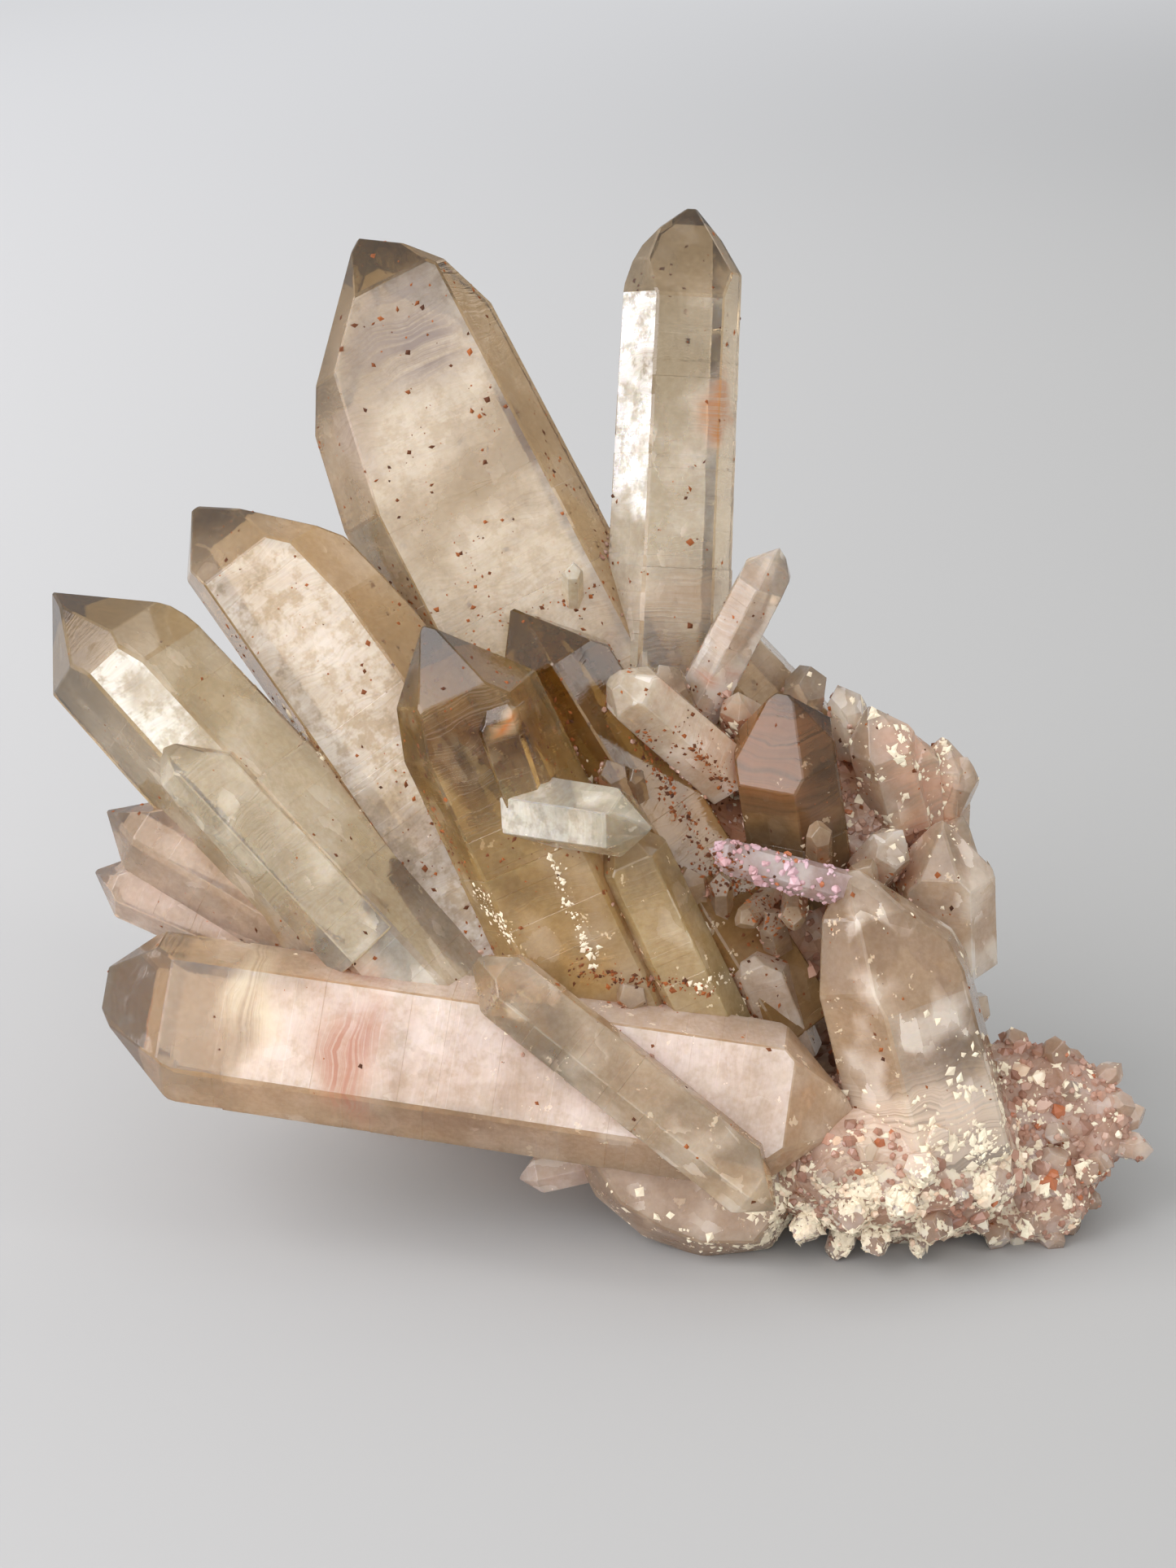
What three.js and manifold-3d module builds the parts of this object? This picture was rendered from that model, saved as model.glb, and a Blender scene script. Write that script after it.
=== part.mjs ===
// A cluster of smoky citrine quartz, grown as one piece: long six-sided crystals with pointed ends
// that fan up and to the left out of a rough, druse-covered root at the lower right.
// Millimetres. +Z is up, +X is to the right of the display face, and -Y looks at the display face.
// The crystals are placed on the display face, which leans back from upright: each point there is
// [right, up along the face, out of the face].
import * as THREE from "three";
import { ConvexGeometry } from "three/addons/geometries/ConvexGeometry.js";
import { mergeVertices } from "three/addons/utils/BufferGeometryUtils.js";
import Module from "manifold-3d";

const wasm = await Module();
wasm.setup();

// Driving dimensions
const FACE_LEAN = 20; // degrees that the display face leans back from upright
const FACE_CENTRE = { right: -2.1, back: 3.1, height: 56.6 }; // where [0, 0, 0] of the face stands
const END_SLOPE = 38.2; // degrees between the normals of a prism face and the end face above it
const STEEP_SLOPE = 15; // degrees between the normals of a prism face and a steep facet above it
const PRISM_TAPER = 0.6; // degrees that the prism faces close in towards the point
const FACES = 6;
const LAYER = 0.12; // thickness of the last layer of growth on all but its raised face
const SMALL = 2.8; // half width below which a crystal shows only three end faces
const CITRINE = { color: 0xc9b894, roughness: 0.25, metalness: 0 };

const radians = THREE.MathUtils.degToRad;
const standing = new THREE.Matrix4()
  .makeRotationX(radians(90 - FACE_LEAN))
  .setPosition(FACE_CENTRE.right, FACE_CENTRE.back, FACE_CENTRE.height);

// A long crystal runs from its foot, deep in the root, to its tip. half is the distance from the
// axis to a prism face; faces scales it for each of the six, counted from the one that looks out of
// the display face, and cut lowers each end face by that many millimetres. turn is in degrees.
// steep gives faces a steeper facet between prism and end, from that far below the tip. A ledge is
// where a later layer of growth stops, that far below the tip: it raises one face by rise. blunt is
// how much of the tip is worn off.
const LONG_CRYSTALS = {
  great_left: {
    foot: [8.5, -11.2, -14], tip: [-37.9, 78.8, -6], half: 14.4, turn: 3,
    faces: [0.62, 1, 1, 0.66, 1, 1], cut: [2.2, -3.8, 3.3, 3, 11.5, 6.9],
    steep: { 4: 41, 5: 41 }, steepSlope: 9, ledge: { face: 0, rise: 0.5, below: 60 },
  },
  upright: {
    foot: [10.3, 5, -10], tip: [13.7, 82, -4], half: 7.4, turn: 9,
    faces: [0.9, 1, 1, 0.9, 1, 1], cut: [6.6, 2.2, -2.6, -2.4, 0.6, 2.2],
    steep: { 4: 14, 5: 15 }, ledge: { face: 0, rise: 0.4, below: 52 },
  },
  middle_left: {
    foot: [-2.9, -25.3, 0], tip: [-54.1, 46.2, 0], half: 10.6, turn: -16,
    faces: [0.75, 1, 1, 0.75, 1, 1], cut: [7.2, 8, 11.5, 6, 0, 1],
    steep: { 1: 30, 2: 36 }, steepSlope: 8, ledge: { face: 0, rise: 0.5, below: 49 },
  },
  outer_left: {
    foot: [-18.3, -32, 2], tip: [-73.8, 28.9, 3], half: 9.4, turn: -2.5,
    faces: [1.36, 1, 1, 0.8, 1, 1], cut: [-0.2, 3.8, 4, 1.6, 1.6, 1.6],
    steep: { 1: 20, 2: 18 }, ledge: { face: 1, rise: 0.4, below: 41 },
  },
  satellite: {
    foot: [-29.1, -21.7, 12.5], tip: [-56.7, 8.1, 14.5], half: 4.8, turn: 14,
    faces: [0.8, 1, 1, 1, 1, 1], cut: [2.4, 3.4, 3.2, 2, 0, 0.6],
  },
  pink_upper: {
    foot: [-33.6, -22.6, 0], tip: [-67, -2.8, 0], half: 5.3, turn: 15,
    faces: [1, 1.1, 0.9, 1, 1, 0.9], cut: [0.6, 1.8, 0.5, 0, 1.2, 1.4],
  },
  pink_lower: {
    foot: [-36, -25.4, -3], tip: [-69.3, -11.4, -5], half: 4.3, turn: 0,
    faces: [1, 1, 1, 1, 1, 1], cut: [0, 1.6, 0.8, 0, 1.2, 1],
  },
  long_low: {
    foot: [38, -44.4, 16], tip: [-69.4, -28.8, 10], half: 9.7, turn: 8, both: true,
    faces: [0.72, 1, 1, 0.9, 1, 1.02], cut: [5.4, -0.6, -2, 3.4, 3.2, 3],
    footCut: [3, 1, 2, 3, 4, 1], steep: { 5: 17 }, ledge: { face: 0, rise: 0.35, below: 23 },
  },
  cross_shard: {
    foot: [25.9, -55, 25], tip: [-15.7, -22.2, 21.5], half: 4.3, turn: 22, both: true,
    faces: [0.8, 1, 1, 0.8, 1, 1], cut: [0.6, 0, 1, 0, 0.4, 1.4], footCut: [1, 2.6, 0, 0, 0.5, 0],
  },
  nub: {
    foot: [4, -50, 6], tip: [-9.6, -53.4, 4], half: 2.4, turn: 20,
    faces: [1, 1, 1, 1, 1, 1], cut: [0.2, 0, 0.5, 0, 0.3, 0],
  },
  centre_left: {
    foot: [6.1, -36.8, 4.2], tip: [-21.5, 21.6, 19.5], half: 9.3, turn: -6,
    faces: [0.74, 1, 1, 0.8, 1, 1], cut: [1.4, 0.6, 1, 0, 0, 0.2], steep: { 4: 17, 5: 17 },
    ledge: { face: 0, rise: 0.35, below: 34 },
  },
  centre_left_inner: {
    foot: [-8, -2.5, 17.5], tip: [-13.3, 13.6, 22.4], half: 3.5, turn: -6,
    faces: [0.92, 1, 1, 1, 1, 1], cut: [1, 0, 0, 0, 0.6, 1.4],
  },
  centre_right: {
    foot: [26.4, -34, 0.5], tip: [-10.8, 26.2, 8.2], half: 7.8, turn: -33,
    faces: [0.94, 0.96, 1, 1, 1, 1], cut: [2, 2, 3.6, 3, 0.6, 1.2],
  },
  centre_rib: {
    foot: [18, -35.7, 8.7], tip: [3, -4, 17], half: 4.6, turn: -6,
    faces: [0.9, 1, 1, 1, 1, 1], cut: [1, 0.6, 0, 0, 0.4, 1],
  },
  thumb: {
    foot: [19, 1, 6], tip: [1.4, 15.8, 18.6], half: 3.9, turn: 25,
    faces: [1, 1, 1, 1, 1, 1], cut: [1.4, 2, 1.8, 1.2, 1.6, 1], blunt: 3.4,
  },
  small_right: {
    foot: [13, 7, -1], tip: [25.9, 32, 10], half: 3.6, turn: 32,
    faces: [1, 0.9, 1, 1, 0.9, 1.1], cut: [1.5, 0, 0, 0, 0.7, 1.2],
  },
  slope_right: {
    foot: [41, -6.5, -10], tip: [11.5, 24.5, -8], half: 6.4, turn: 20,
    faces: [1, 1, 1, 1, 1, 1], cut: [0, 1, 0, 0, 1, 0],
  },
  amber_point: {
    foot: [29.5, -13, 0], tip: [24.4, 12.8, 17.4], half: 6.7, turn: -36,
    faces: [0.92, 1.02, 1, 1, 1, 1], cut: [4.6, 2, 0, 0, 0, 1.5],
  },
  lilac_splinter: {
    foot: [34.5, -14, 17], tip: [15.2, -8.6, 22], half: 2.1, turn: 12,
    faces: [0.8, 1, 1, 1, 1, 1], cut: [0.4, 0, 0, 0, 0.6, 0],
  },
  egg: {
    foot: [47, -50, 10], tip: [35.4, -6.6, 18], half: 9.6, turn: 18,
    faces: [0.84, 0.98, 1, 0.8, 1, 0.96], cut: [4, 5.4, 5.6, 1, 0.4, 1],
    steep: { 0: 22, 1: 20, 2: 20, 4: 19, 5: 19 }, blunt: 4.4,
  },
  block_low: {
    foot: [27.5, -37, 4], tip: [20.2, -19.4, 9.5], half: 3.9, turn: 5,
    faces: [0.8, 1, 1, 0.8, 1, 1], cut: [1, 2, 2, 1.4, 0.8, 0.4], blunt: 3.6,
  },
  centre_finger: {
    foot: [-13, -2.4, 14.5], tip: [9.4, -5.7, 28.5], half: 4.1, turn: 18,
    faces: [0.9, 1, 1, 1, 1, 0.9], cut: [1.4, 0.8, 1.2, 1, 1.5, 1], blunt: 1.6,
  },
};

// Shorter crystals of the right side, the crevices and the back, as [foot, tip, half, turn].
const SHORT_CRYSTALS = [
  // the right side, seen from the front
  [[37, 4, -2], [34.4, 14.4, 2], 2.6, 10],
  [[43, -5, -2], [37.6, 11.4, 8], 4.2, 5],
  [[45, -7, -4], [43, 9, 4], 4, 25],
  [[48, -8, -6], [48.2, 8, 1], 4, 0],
  [[47, -9, -7], [52.4, 4.6, 1], 2.8, 15],
  [[49, -24, -2], [47.4, -3.2, 8], 6.2, -14],
  [[47, -14, -5], [52.2, -3, 0], 4.2, 10],
  [[46, -20, -4], [53.6, -11, 2], 3.6, 20],
  [[48, -28, -4], [54.4, -19.6, 3], 2.8, 0],
  [[45, -38, -4], [54.4, -28.4, 4], 2.6, 12],
  [[36, -14, 4], [42.6, -5.4, 12], 3, 12],
  [[29, 8, -4], [30.2, 16.6, 3], 2.6, 30],
  [[22, -1, -5], [20.6, 13, 8.6], 2.8, 15],
  // the crevices between the long crystals
  [[15, 4, 2], [9.4, 16.4, 9], 2.6, 20],
  [[6, -6, 9], [2.4, 3.8, 17], 1.9, 8],
  [[7, -4, 9], [5.6, 2.2, 16.6], 1.5, 30],
  [[15, -20, 6], [13.4, -10.6, 14], 1.9, 12],
  [[18, -21, 6], [17.4, -11.6, 13], 1.7, 0],
  [[26, -24, 2], [23.6, -16.6, 16], 1.9, 24],
  [[26, -14, 6], [19.8, -18.6, 17.4], 1.6, 0],
  [[28, -13, 6], [26.6, -18.6, 18], 1.5, 18],
  [[31, -11, 8], [30.2, -5.6, 19.6], 1.6, 6],
  [[34, -16, 8], [37.2, -10.4, 18.6], 1.8, 0],
  [[-2, 20, -8], [-2.2, 30.2, 2.6], 1.3, 0],
  [[8, -34, 6], [5, -26, 16.6], 1.9, 14],
  [[14, -36, 6], [14.4, -27.4, 15.6], 2, 4],
  // the back
  [[0, -8, -16], [-28, 20, -29], 7.6, 10],
  [[6, -22, -20], [-38, -6, -27], 8, 24],
  [[14, -10, -18], [6, 30, -31], 6.6, 0],
  [[26, -18, -18], [24, 4, -40], 6.2, 16],
  [[4, -26, -22], [-12, -10, -46], 7, 8],
  [[-14, -34, -20], [-34, -24, -43], 6, 20],
  [[36, -26, -14], [45, -14, -35], 6.4, 12],
  [[18, -32, -24], [14, -22, -50], 5.6, 0],
  [[-4, -2, -14], [-12, 8, -38], 4.6, 30],
  [[38, -10, -12], [46, 4, -25], 4.8, 6],
];

// The root: rough lumps of massive quartz, as ellipsoids with flat broken facets. number picks how
// chance shapes a lump.
const LUMPS = {
  heart: { at: [18, -20, -8], radii: [25, 26, 17], facets: 40, number: 1 },
  shoulder: { at: [34, -10, -8], radii: [15, 18, 13], facets: 30, number: 2 },
  saddle: { at: [-10, -18, -4], radii: [22, 17, 13], facets: 30, number: 3 },
  keel: { at: [16, -42, -18], radii: [30, 17, 20], facets: 34, number: 4 },
  right_foot: { at: [40, -50, 6], radii: [20.4, 13.5, 15.6], facets: 36, number: 5 },
  arm: { at: [59, -46.8, 0], radii: [17.2, 12.4, 8.4], facets: 38, number: 6 },
  arm_low: { at: [58.8, -54.6, 3.6], radii: [10.4, 8.4, 6.6], facets: 26, number: 7 },
  back_foot: { at: [-17, -41, -33], radii: [21, 12.6, 14], facets: 28, number: 8 },
};

// The thin blade under the long low crystal, by its outline on the display face.
const BLADE = {
  outline: [
    [-3, -47.6], [1, -55.4], [7.4, -60.8], [15.4, -63.7], [24.6, -62.4], [31, -53], [20, -42],
  ],
  back: 0, front: 14, bevel: 3.2,
};

// Druse: small crystals that stand out of the lumps, as many as count, wherever the lump's surface
// looks within spread degrees of towards. size is the least and the greatest half width.
const DRUSE = [
  { on: "arm", towards: [0.5, 0.4, 1], spread: 80, count: 15, size: [0.9, 1.9], number: 11 },
  { on: "arm_low", towards: [0.6, -0.5, 0.8], spread: 70, count: 10, size: [0.9, 1.9], number: 12 },
  { on: "right_foot", towards: [-0.2, -0.5, 1], spread: 58, count: 17, size: [1, 2.2], number: 13 },
  { on: "shoulder", towards: [1, 0.1, 0.1], spread: 50, count: 9, size: [1.4, 2.6], number: 14 },
  { on: "keel", towards: [0, 0, -1], spread: 60, count: 12, size: [1.6, 3.2], number: 15 },
  { on: "back_foot", towards: [-0.4, 0.3, -1], spread: 66, count: 6, size: [1.4, 2.6], number: 16 },
];
const DRUSE_STANDS_OUT = 1.5; // half widths from the lump's surface to a druse crystal's tip
const DRUSE_SPLAY = 0.42; // how far a druse crystal may lean from straight out

// Repeatable chance between low and high, the same on every run for each number given
function chanceOf(number) {
  let state = Math.imul(number + 1, 40503) >>> 0;
  return (low, high) => {
    state = (Math.imul(state, 1664525) + 1013904223) >>> 0;
    return low + ((high - low) * state) / 4294967296;
  };
}

const vector = (p) => new THREE.Vector3(...p);

// Every corner of the convex body that keeps to the inner side of all the planes.
function cornersOf(planes) {
  const corners = [];
  for (let i = 0; i < planes.length; i++)
    for (let j = i + 1; j < planes.length; j++)
      for (let k = j + 1; k < planes.length; k++) {
        const [a, b, c] = [planes[i], planes[j], planes[k]];
        const bc = b.normal.clone().cross(c.normal);
        const volume = a.normal.dot(bc);
        if (Math.abs(volume) < 1e-6) continue;
        const ca = c.normal.clone().cross(a.normal);
        const ab = a.normal.clone().cross(b.normal);
        const p = bc.multiplyScalar(a.reach).addScaledVector(ca, b.reach)
          .addScaledVector(ab, c.reach).divideScalar(volume);
        if (planes.some((q) => q.normal.dot(p) > q.reach + 1e-6)) continue;
        if (!corners.some((q) => q.distanceTo(p) < 1e-3)) corners.push(p);
      }
  return corners;
}

// A quartz crystal: six prism faces, and six end faces at the tip, or at both ends. When small,
// only every other end face is there.
function crystal({
  foot, tip, half, turn, faces, cut, steep = {}, steepSlope = STEEP_SLOPE, blunt, both, footCut,
  small,
}) {
  const base = vector(foot);
  const axis = vector(tip).sub(base);
  const length = axis.length();
  axis.normalize();
  const outward = new THREE.Vector3(0, 0, 1).addScaledVector(axis, -axis.z).normalize();
  const sideways = axis.clone().cross(outward);
  const lean = both ? 0 : Math.tan(radians(PRISM_TAPER));
  const planes = both ? [] : [{ normal: axis.clone().negate(), reach: 0 }];
  if (blunt) planes.push({ normal: axis.clone(), reach: length - blunt });
  for (let k = 0; k < FACES; k++) {
    const angle = radians((360 / FACES) * k + turn);
    const radial = outward.clone().multiplyScalar(Math.cos(angle))
      .addScaledVector(sideways, Math.sin(angle));
    const tilted = (degrees, side, distance, along) => {
      const [c, s] = [Math.cos(radians(degrees)), Math.sin(radians(degrees)) * side];
      return {
        normal: radial.clone().multiplyScalar(c).addScaledVector(axis, s),
        reach: distance * c + along * s,
      };
    };
    const distance = half * faces[k];
    planes.push({
      normal: radial.clone().addScaledVector(axis, lean).normalize(),
      reach: (distance + lean * length * 0.6) / Math.hypot(1, lean),
    });
    if (!small || k % 2 === 0) planes.push(tilted(END_SLOPE, 1, 0, length - cut[k]));
    if (both) planes.push(tilted(END_SLOPE, -1, 0, footCut[k]));
    if (k in steep) planes.push(tilted(steepSlope, 1, distance, length - steep[k]));
  }
  return new ConvexGeometry(cornersOf(planes)).translate(...foot);
}

// The last layer of growth on a long crystal, up to the ledge where it stops.
function ledgeLayer(long) {
  const { face, rise, below } = long.ledge;
  const faces = long.faces.map((f, k) => f + (k === face ? rise : LAYER) / long.half);
  const cut = faces.map((f) => below - (long.half * f) / Math.tan(radians(END_SLOPE)));
  return crystal({ ...long, faces, cut, footCut: long.footCut?.map((c) => c - LAYER) });
}

// A crystal whose faces differ by chance, as those of a short or a druse crystal do.
function roughCrystal(foot, tip, half, turn, chance) {
  const faces = Array.from({ length: FACES }, () => chance(0.86, 1.1));
  const cut = Array.from({ length: FACES }, () => chance(0, 0.55) * half);
  return crystal({ foot, tip, half, turn, faces, cut, small: half < SMALL });
}

// Points spread evenly over a sphere, one for each count.
function sphereDirections(count) {
  const goldenTurn = Math.PI * (3 - Math.sqrt(5));
  return Array.from({ length: count }, (_, i) => {
    const up = 1 - (2 * i + 1) / count;
    const ring = Math.sqrt(1 - up * up);
    return new THREE.Vector3(ring * Math.cos(goldenTurn * i), ring * Math.sin(goldenTurn * i), up);
  });
}

function lump({ at, radii, facets, number }) {
  const chance = chanceOf(number);
  const corners = sphereDirections(facets).map((d) =>
    d.multiply(vector(radii)).multiplyScalar(chance(0.84, 1.06)).add(vector(at)),
  );
  return new ConvexGeometry(corners);
}

function blade({ outline, back, front, bevel }) {
  const middle = (back + front) / 2;
  const centre = outline.reduce((sum, [x, y]) => sum.add(new THREE.Vector2(x, y)),
    new THREE.Vector2()).divideScalar(outline.length);
  const corners = outline.flatMap(([x, y]) => {
    const inward = centre.clone().sub(new THREE.Vector2(x, y)).setLength(bevel);
    return [
      new THREE.Vector3(x, y, middle),
      new THREE.Vector3(x + inward.x, y + inward.y, front),
      new THREE.Vector3(x + inward.x, y + inward.y, back),
    ];
  });
  return new ConvexGeometry(corners);
}

function druse({ on, towards, spread, count, size, number }) {
  const chance = chanceOf(number);
  const { at, radii } = LUMPS[on];
  const look = vector(towards).normalize();
  const least = Math.cos(radians(spread));
  const share = (1 - least) / 2;
  return sphereDirections(Math.round(count / share))
    .filter((d) => d.dot(look) > least)
    .map((d) => {
      const half = chance(...size);
      const surface = d.clone().multiply(vector(radii)).multiplyScalar(0.95).add(vector(at));
      const splay = new THREE.Vector3(chance(-1, 1), chance(-1, 1), chance(-1, 1));
      const out = d.clone().divide(vector(radii)).normalize().addScaledVector(splay, DRUSE_SPLAY)
        .normalize();
      const tip = surface.clone().addScaledVector(out, half * DRUSE_STANDS_OUT);
      const foot = surface.clone().addScaledVector(out, -half * 1.5);
      return roughCrystal(foot.toArray(), tip.toArray(), half, chance(0, 60), chance);
    });
}

// A closed geometry of the display face as a solid that stands on z = 0.
function solid(geometry, place = standing) {
  const bare = geometry.clone().applyMatrix4(place);
  bare.deleteAttribute("normal");
  bare.deleteAttribute("uv");
  const merged = mergeVertices(bare, 1e-4);
  return new wasm.Manifold(new wasm.Mesh({
    numProp: 3,
    vertProperties: merged.attributes.position.array,
    triVerts: new Uint32Array(merged.index.array),
  }));
}

function geometryOf(manifold) {
  const mesh = manifold.getMesh();
  return new THREE.BufferGeometry()
    .setAttribute("position", new THREE.BufferAttribute(mesh.vertProperties, 3))
    .setIndex(new THREE.BufferAttribute(mesh.triVerts, 1));
}

// What lies below the surface that the cluster rests on, where its feet are worn flat.
function underneath() {
  const size = 400;
  return solid(new THREE.BoxGeometry(size, size, size),
    new THREE.Matrix4().makeTranslation(0, 0, -size / 2));
}

const grown = [
  ...Object.values(LUMPS).map(lump),
  blade(BLADE),
  ...Object.values(LONG_CRYSTALS).map(crystal),
  ...Object.values(LONG_CRYSTALS).filter((c) => c.ledge).map(ledgeLayer),
  ...SHORT_CRYSTALS.map((c, number) => roughCrystal(...c, chanceOf(number))),
  ...DRUSE.flatMap(druse),
];
const whole = grown.map((g) => solid(g)).reduce((all, piece) => all.add(piece))
  .subtract(underneath());

const cluster = new THREE.Mesh(geometryOf(whole), new THREE.MeshStandardMaterial(CITRINE));
cluster.name = "crystal_cluster";

const group = new THREE.Group();
group.add(cluster);

export default group;
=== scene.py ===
"""Looks of a citrine quartz cluster: its crystals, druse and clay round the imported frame, with the
light, the floor and the camera. Lengths are millimetres until a mesh is made. The crystals are
placed on the display face, each point being [right, up along the face, out of the face]."""
import math

import bmesh
import bpy
import numpy as np
from mathutils import Matrix, Vector, noise
from mathutils.bvhtree import BVHTree


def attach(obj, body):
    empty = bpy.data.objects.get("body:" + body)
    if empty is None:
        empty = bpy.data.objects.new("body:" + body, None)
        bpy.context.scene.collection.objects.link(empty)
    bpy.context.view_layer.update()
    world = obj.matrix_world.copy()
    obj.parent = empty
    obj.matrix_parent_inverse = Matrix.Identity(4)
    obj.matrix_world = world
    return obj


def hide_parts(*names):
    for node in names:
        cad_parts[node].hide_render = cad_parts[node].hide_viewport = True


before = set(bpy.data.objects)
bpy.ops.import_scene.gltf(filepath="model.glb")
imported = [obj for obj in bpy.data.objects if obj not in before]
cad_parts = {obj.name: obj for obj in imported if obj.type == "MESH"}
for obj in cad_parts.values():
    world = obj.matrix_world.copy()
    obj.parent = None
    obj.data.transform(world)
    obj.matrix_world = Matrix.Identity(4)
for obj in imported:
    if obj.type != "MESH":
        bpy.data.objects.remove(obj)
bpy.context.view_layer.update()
noise.seed_set(14)  # without it noise_vector differs from run to run

MM = 0.001
FACE_LEAN = 20  # degrees that the display face leans back from upright
FACE_CENTRE = Vector((-2.1, 3.1, 56.6))
STANDING = Matrix.Translation(FACE_CENTRE) @ Matrix.Rotation(math.radians(90 - FACE_LEAN), 4, "X")

# Degrees between the crystal's axis and its end faces, its steep faces and its prism faces
END_SLOPE, STEEP_SLOPE, PRISM_TAPER = 38.2, 15, 0.6
FACES = 6
LAYER = 0.12  # how far the last layer of growth stands out where it has a ledge
SMALL = 2.8  # crystals of less half width have three end faces, and no odd ones
ODD = {1, 3, 5}
ROOT_EDGE = 0.5
RISER = 0.07  # how long the slope is from one terrace to the next
TERRACE_LIFT = 0.045

# What a face of a crystal is: a prism face is its number, 0 to 5, and the others add to it
END, FOOT_END, STEEP, WORN, CHAMFER = 10, 20, 30, 40, 50


def shape(foot, tip, half, turn, faces, cut, **more):
    return dict(foot=foot, tip=tip, half=half, turn=turn, faces=faces, cut=cut, **more)


# Each as (foot, tip, half width, turn, how far out each prism face is, how much each end face cuts off)
LONG_CRYSTALS = {
    "great_left": shape((8.5, -11.2, -14), (-37.9, 78.8, -6), 14.4, 3, (0.62, 1, 1, 0.66, 1, 1),
        (2.2, -3.8, 3.3, 3, 11.5, 6.9), steep={4: 41, 5: 41}, steep_slope=9, ledge=(0, 0.5, 60)),
    "upright": shape((10.3, 5, -10), (13.7, 82, -4), 7.4, 9, (0.9, 1, 1, 0.9, 1, 1),
        (6.6, 2.2, -2.6, -2.4, 0.6, 2.2), steep={4: 14, 5: 15}, ledge=(0, 0.4, 52)),
    "middle_left": shape((-2.9, -25.3, 0), (-54.1, 46.2, 0), 10.6, -16, (0.75, 1, 1, 0.75, 1, 1),
        (7.2, 8, 11.5, 6, 0, 1), steep={1: 30, 2: 36}, steep_slope=8, ledge=(0, 0.5, 49)),
    "outer_left": shape((-18.3, -32, 2), (-73.8, 28.9, 3), 9.4, -2.5, (1.36, 1, 1, 0.8, 1, 1),
        (-0.2, 3.8, 4, 1.6, 1.6, 1.6), steep={1: 20, 2: 18}, ledge=(1, 0.4, 41)),
    "satellite": shape((-29.1, -21.7, 12.5), (-56.7, 8.1, 14.5), 4.8, 14, (0.8, 1, 1, 1, 1, 1),
        (2.4, 3.4, 3.2, 2, 0, 0.6)),
    "pink_upper": shape((-33.6, -22.6, 0), (-67, -2.8, 0), 5.3, 15, (1, 1.1, 0.9, 1, 1, 0.9),
        (0.6, 1.8, 0.5, 0, 1.2, 1.4)),
    "pink_lower": shape((-36, -25.4, -3), (-69.3, -11.4, -5), 4.3, 0, (1, 1, 1, 1, 1, 1),
        (0, 1.6, 0.8, 0, 1.2, 1)),
    "long_low": shape((38, -44.4, 16), (-69.4, -28.8, 10), 9.7, 8, (0.72, 1, 1, 0.9, 1, 1.02),
        (5.4, -0.6, -2, 3.4, 3.2, 3), both=True, foot_cut=(3, 1, 2, 3, 4, 1), steep={5: 17},
        ledge=(0, 0.35, 23)),
    "cross_shard": shape((25.9, -55, 25), (-15.7, -22.2, 21.5), 4.3, 22, (0.8, 1, 1, 0.8, 1, 1),
        (0.6, 0, 1, 0, 0.4, 1.4), both=True, foot_cut=(1, 2.6, 0, 0, 0.5, 0)),
    "nub": shape((4, -50, 6), (-9.6, -53.4, 4), 2.4, 20, (1, 1, 1, 1, 1, 1), (0.2, 0, 0.5, 0, 0.3, 0)),
    "centre_left": shape((6.1, -36.8, 4.2), (-21.5, 21.6, 19.5), 9.3, -6, (0.74, 1, 1, 0.8, 1, 1),
        (1.4, 0.6, 1, 0, 0, 0.2), steep={4: 17, 5: 17}, ledge=(0, 0.35, 34)),
    "centre_left_inner": shape((-8, -2.5, 17.5), (-13.3, 13.6, 22.4), 3.5, -6, (0.92, 1, 1, 1, 1, 1),
        (1, 0, 0, 0, 0.6, 1.4)),
    "centre_right": shape((26.4, -34, 0.5), (-10.8, 26.2, 8.2), 7.8, -33, (0.94, 0.96, 1, 1, 1, 1),
        (2, 2, 3.6, 3, 0.6, 1.2)),
    "centre_rib": shape((18, -35.7, 8.7), (3, -4, 17), 4.6, -6, (0.9, 1, 1, 1, 1, 1),
        (1, 0.6, 0, 0, 0.4, 1)),
    "thumb": shape((19, 1, 6), (1.4, 15.8, 18.6), 3.9, 25, (1, 1, 1, 1, 1, 1), (1.4, 2, 1.8, 1.2, 1.6, 1),
        blunt=3.4),
    "small_right": shape((13, 7, -1), (25.9, 32, 10), 3.6, 32, (1, 0.9, 1, 1, 0.9, 1.1),
        (1.5, 0, 0, 0, 0.7, 1.2)),
    "slope_right": shape((41, -6.5, -10), (11.5, 24.5, -8), 6.4, 20, (1, 1, 1, 1, 1, 1),
        (0, 1, 0, 0, 1, 0)),
    "amber_point": shape((29.5, -13, 0), (24.4, 12.8, 17.4), 6.7, -36, (0.92, 1.02, 1, 1, 1, 1),
        (4.6, 2, 0, 0, 0, 1.5)),
    "lilac_splinter": shape((34.5, -14, 17), (15.2, -8.6, 22), 2.1, 12, (0.8, 1, 1, 1, 1, 1),
        (0.4, 0, 0, 0, 0.6, 0)),
    "egg": shape((47, -50, 10), (35.4, -6.6, 18), 9.6, 18, (0.84, 0.98, 1, 0.8, 1, 0.96),
        (4, 5.4, 5.6, 1, 0.4, 1), steep={0: 22, 1: 20, 2: 20, 4: 19, 5: 19}, blunt=4.4),
    "block_low": shape((27.5, -37, 4), (20.2, -19.4, 9.5), 3.9, 5, (0.8, 1, 1, 0.8, 1, 1),
        (1, 2, 2, 1.4, 0.8, 0.4), blunt=3.6),
    "centre_finger": shape((-13, -2.4, 14.5), (9.4, -5.7, 28.5), 4.1, 18, (0.9, 1, 1, 1, 1, 0.9),
        (1.4, 0.8, 1.2, 1, 1.5, 1), blunt=1.6),
}

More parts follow.
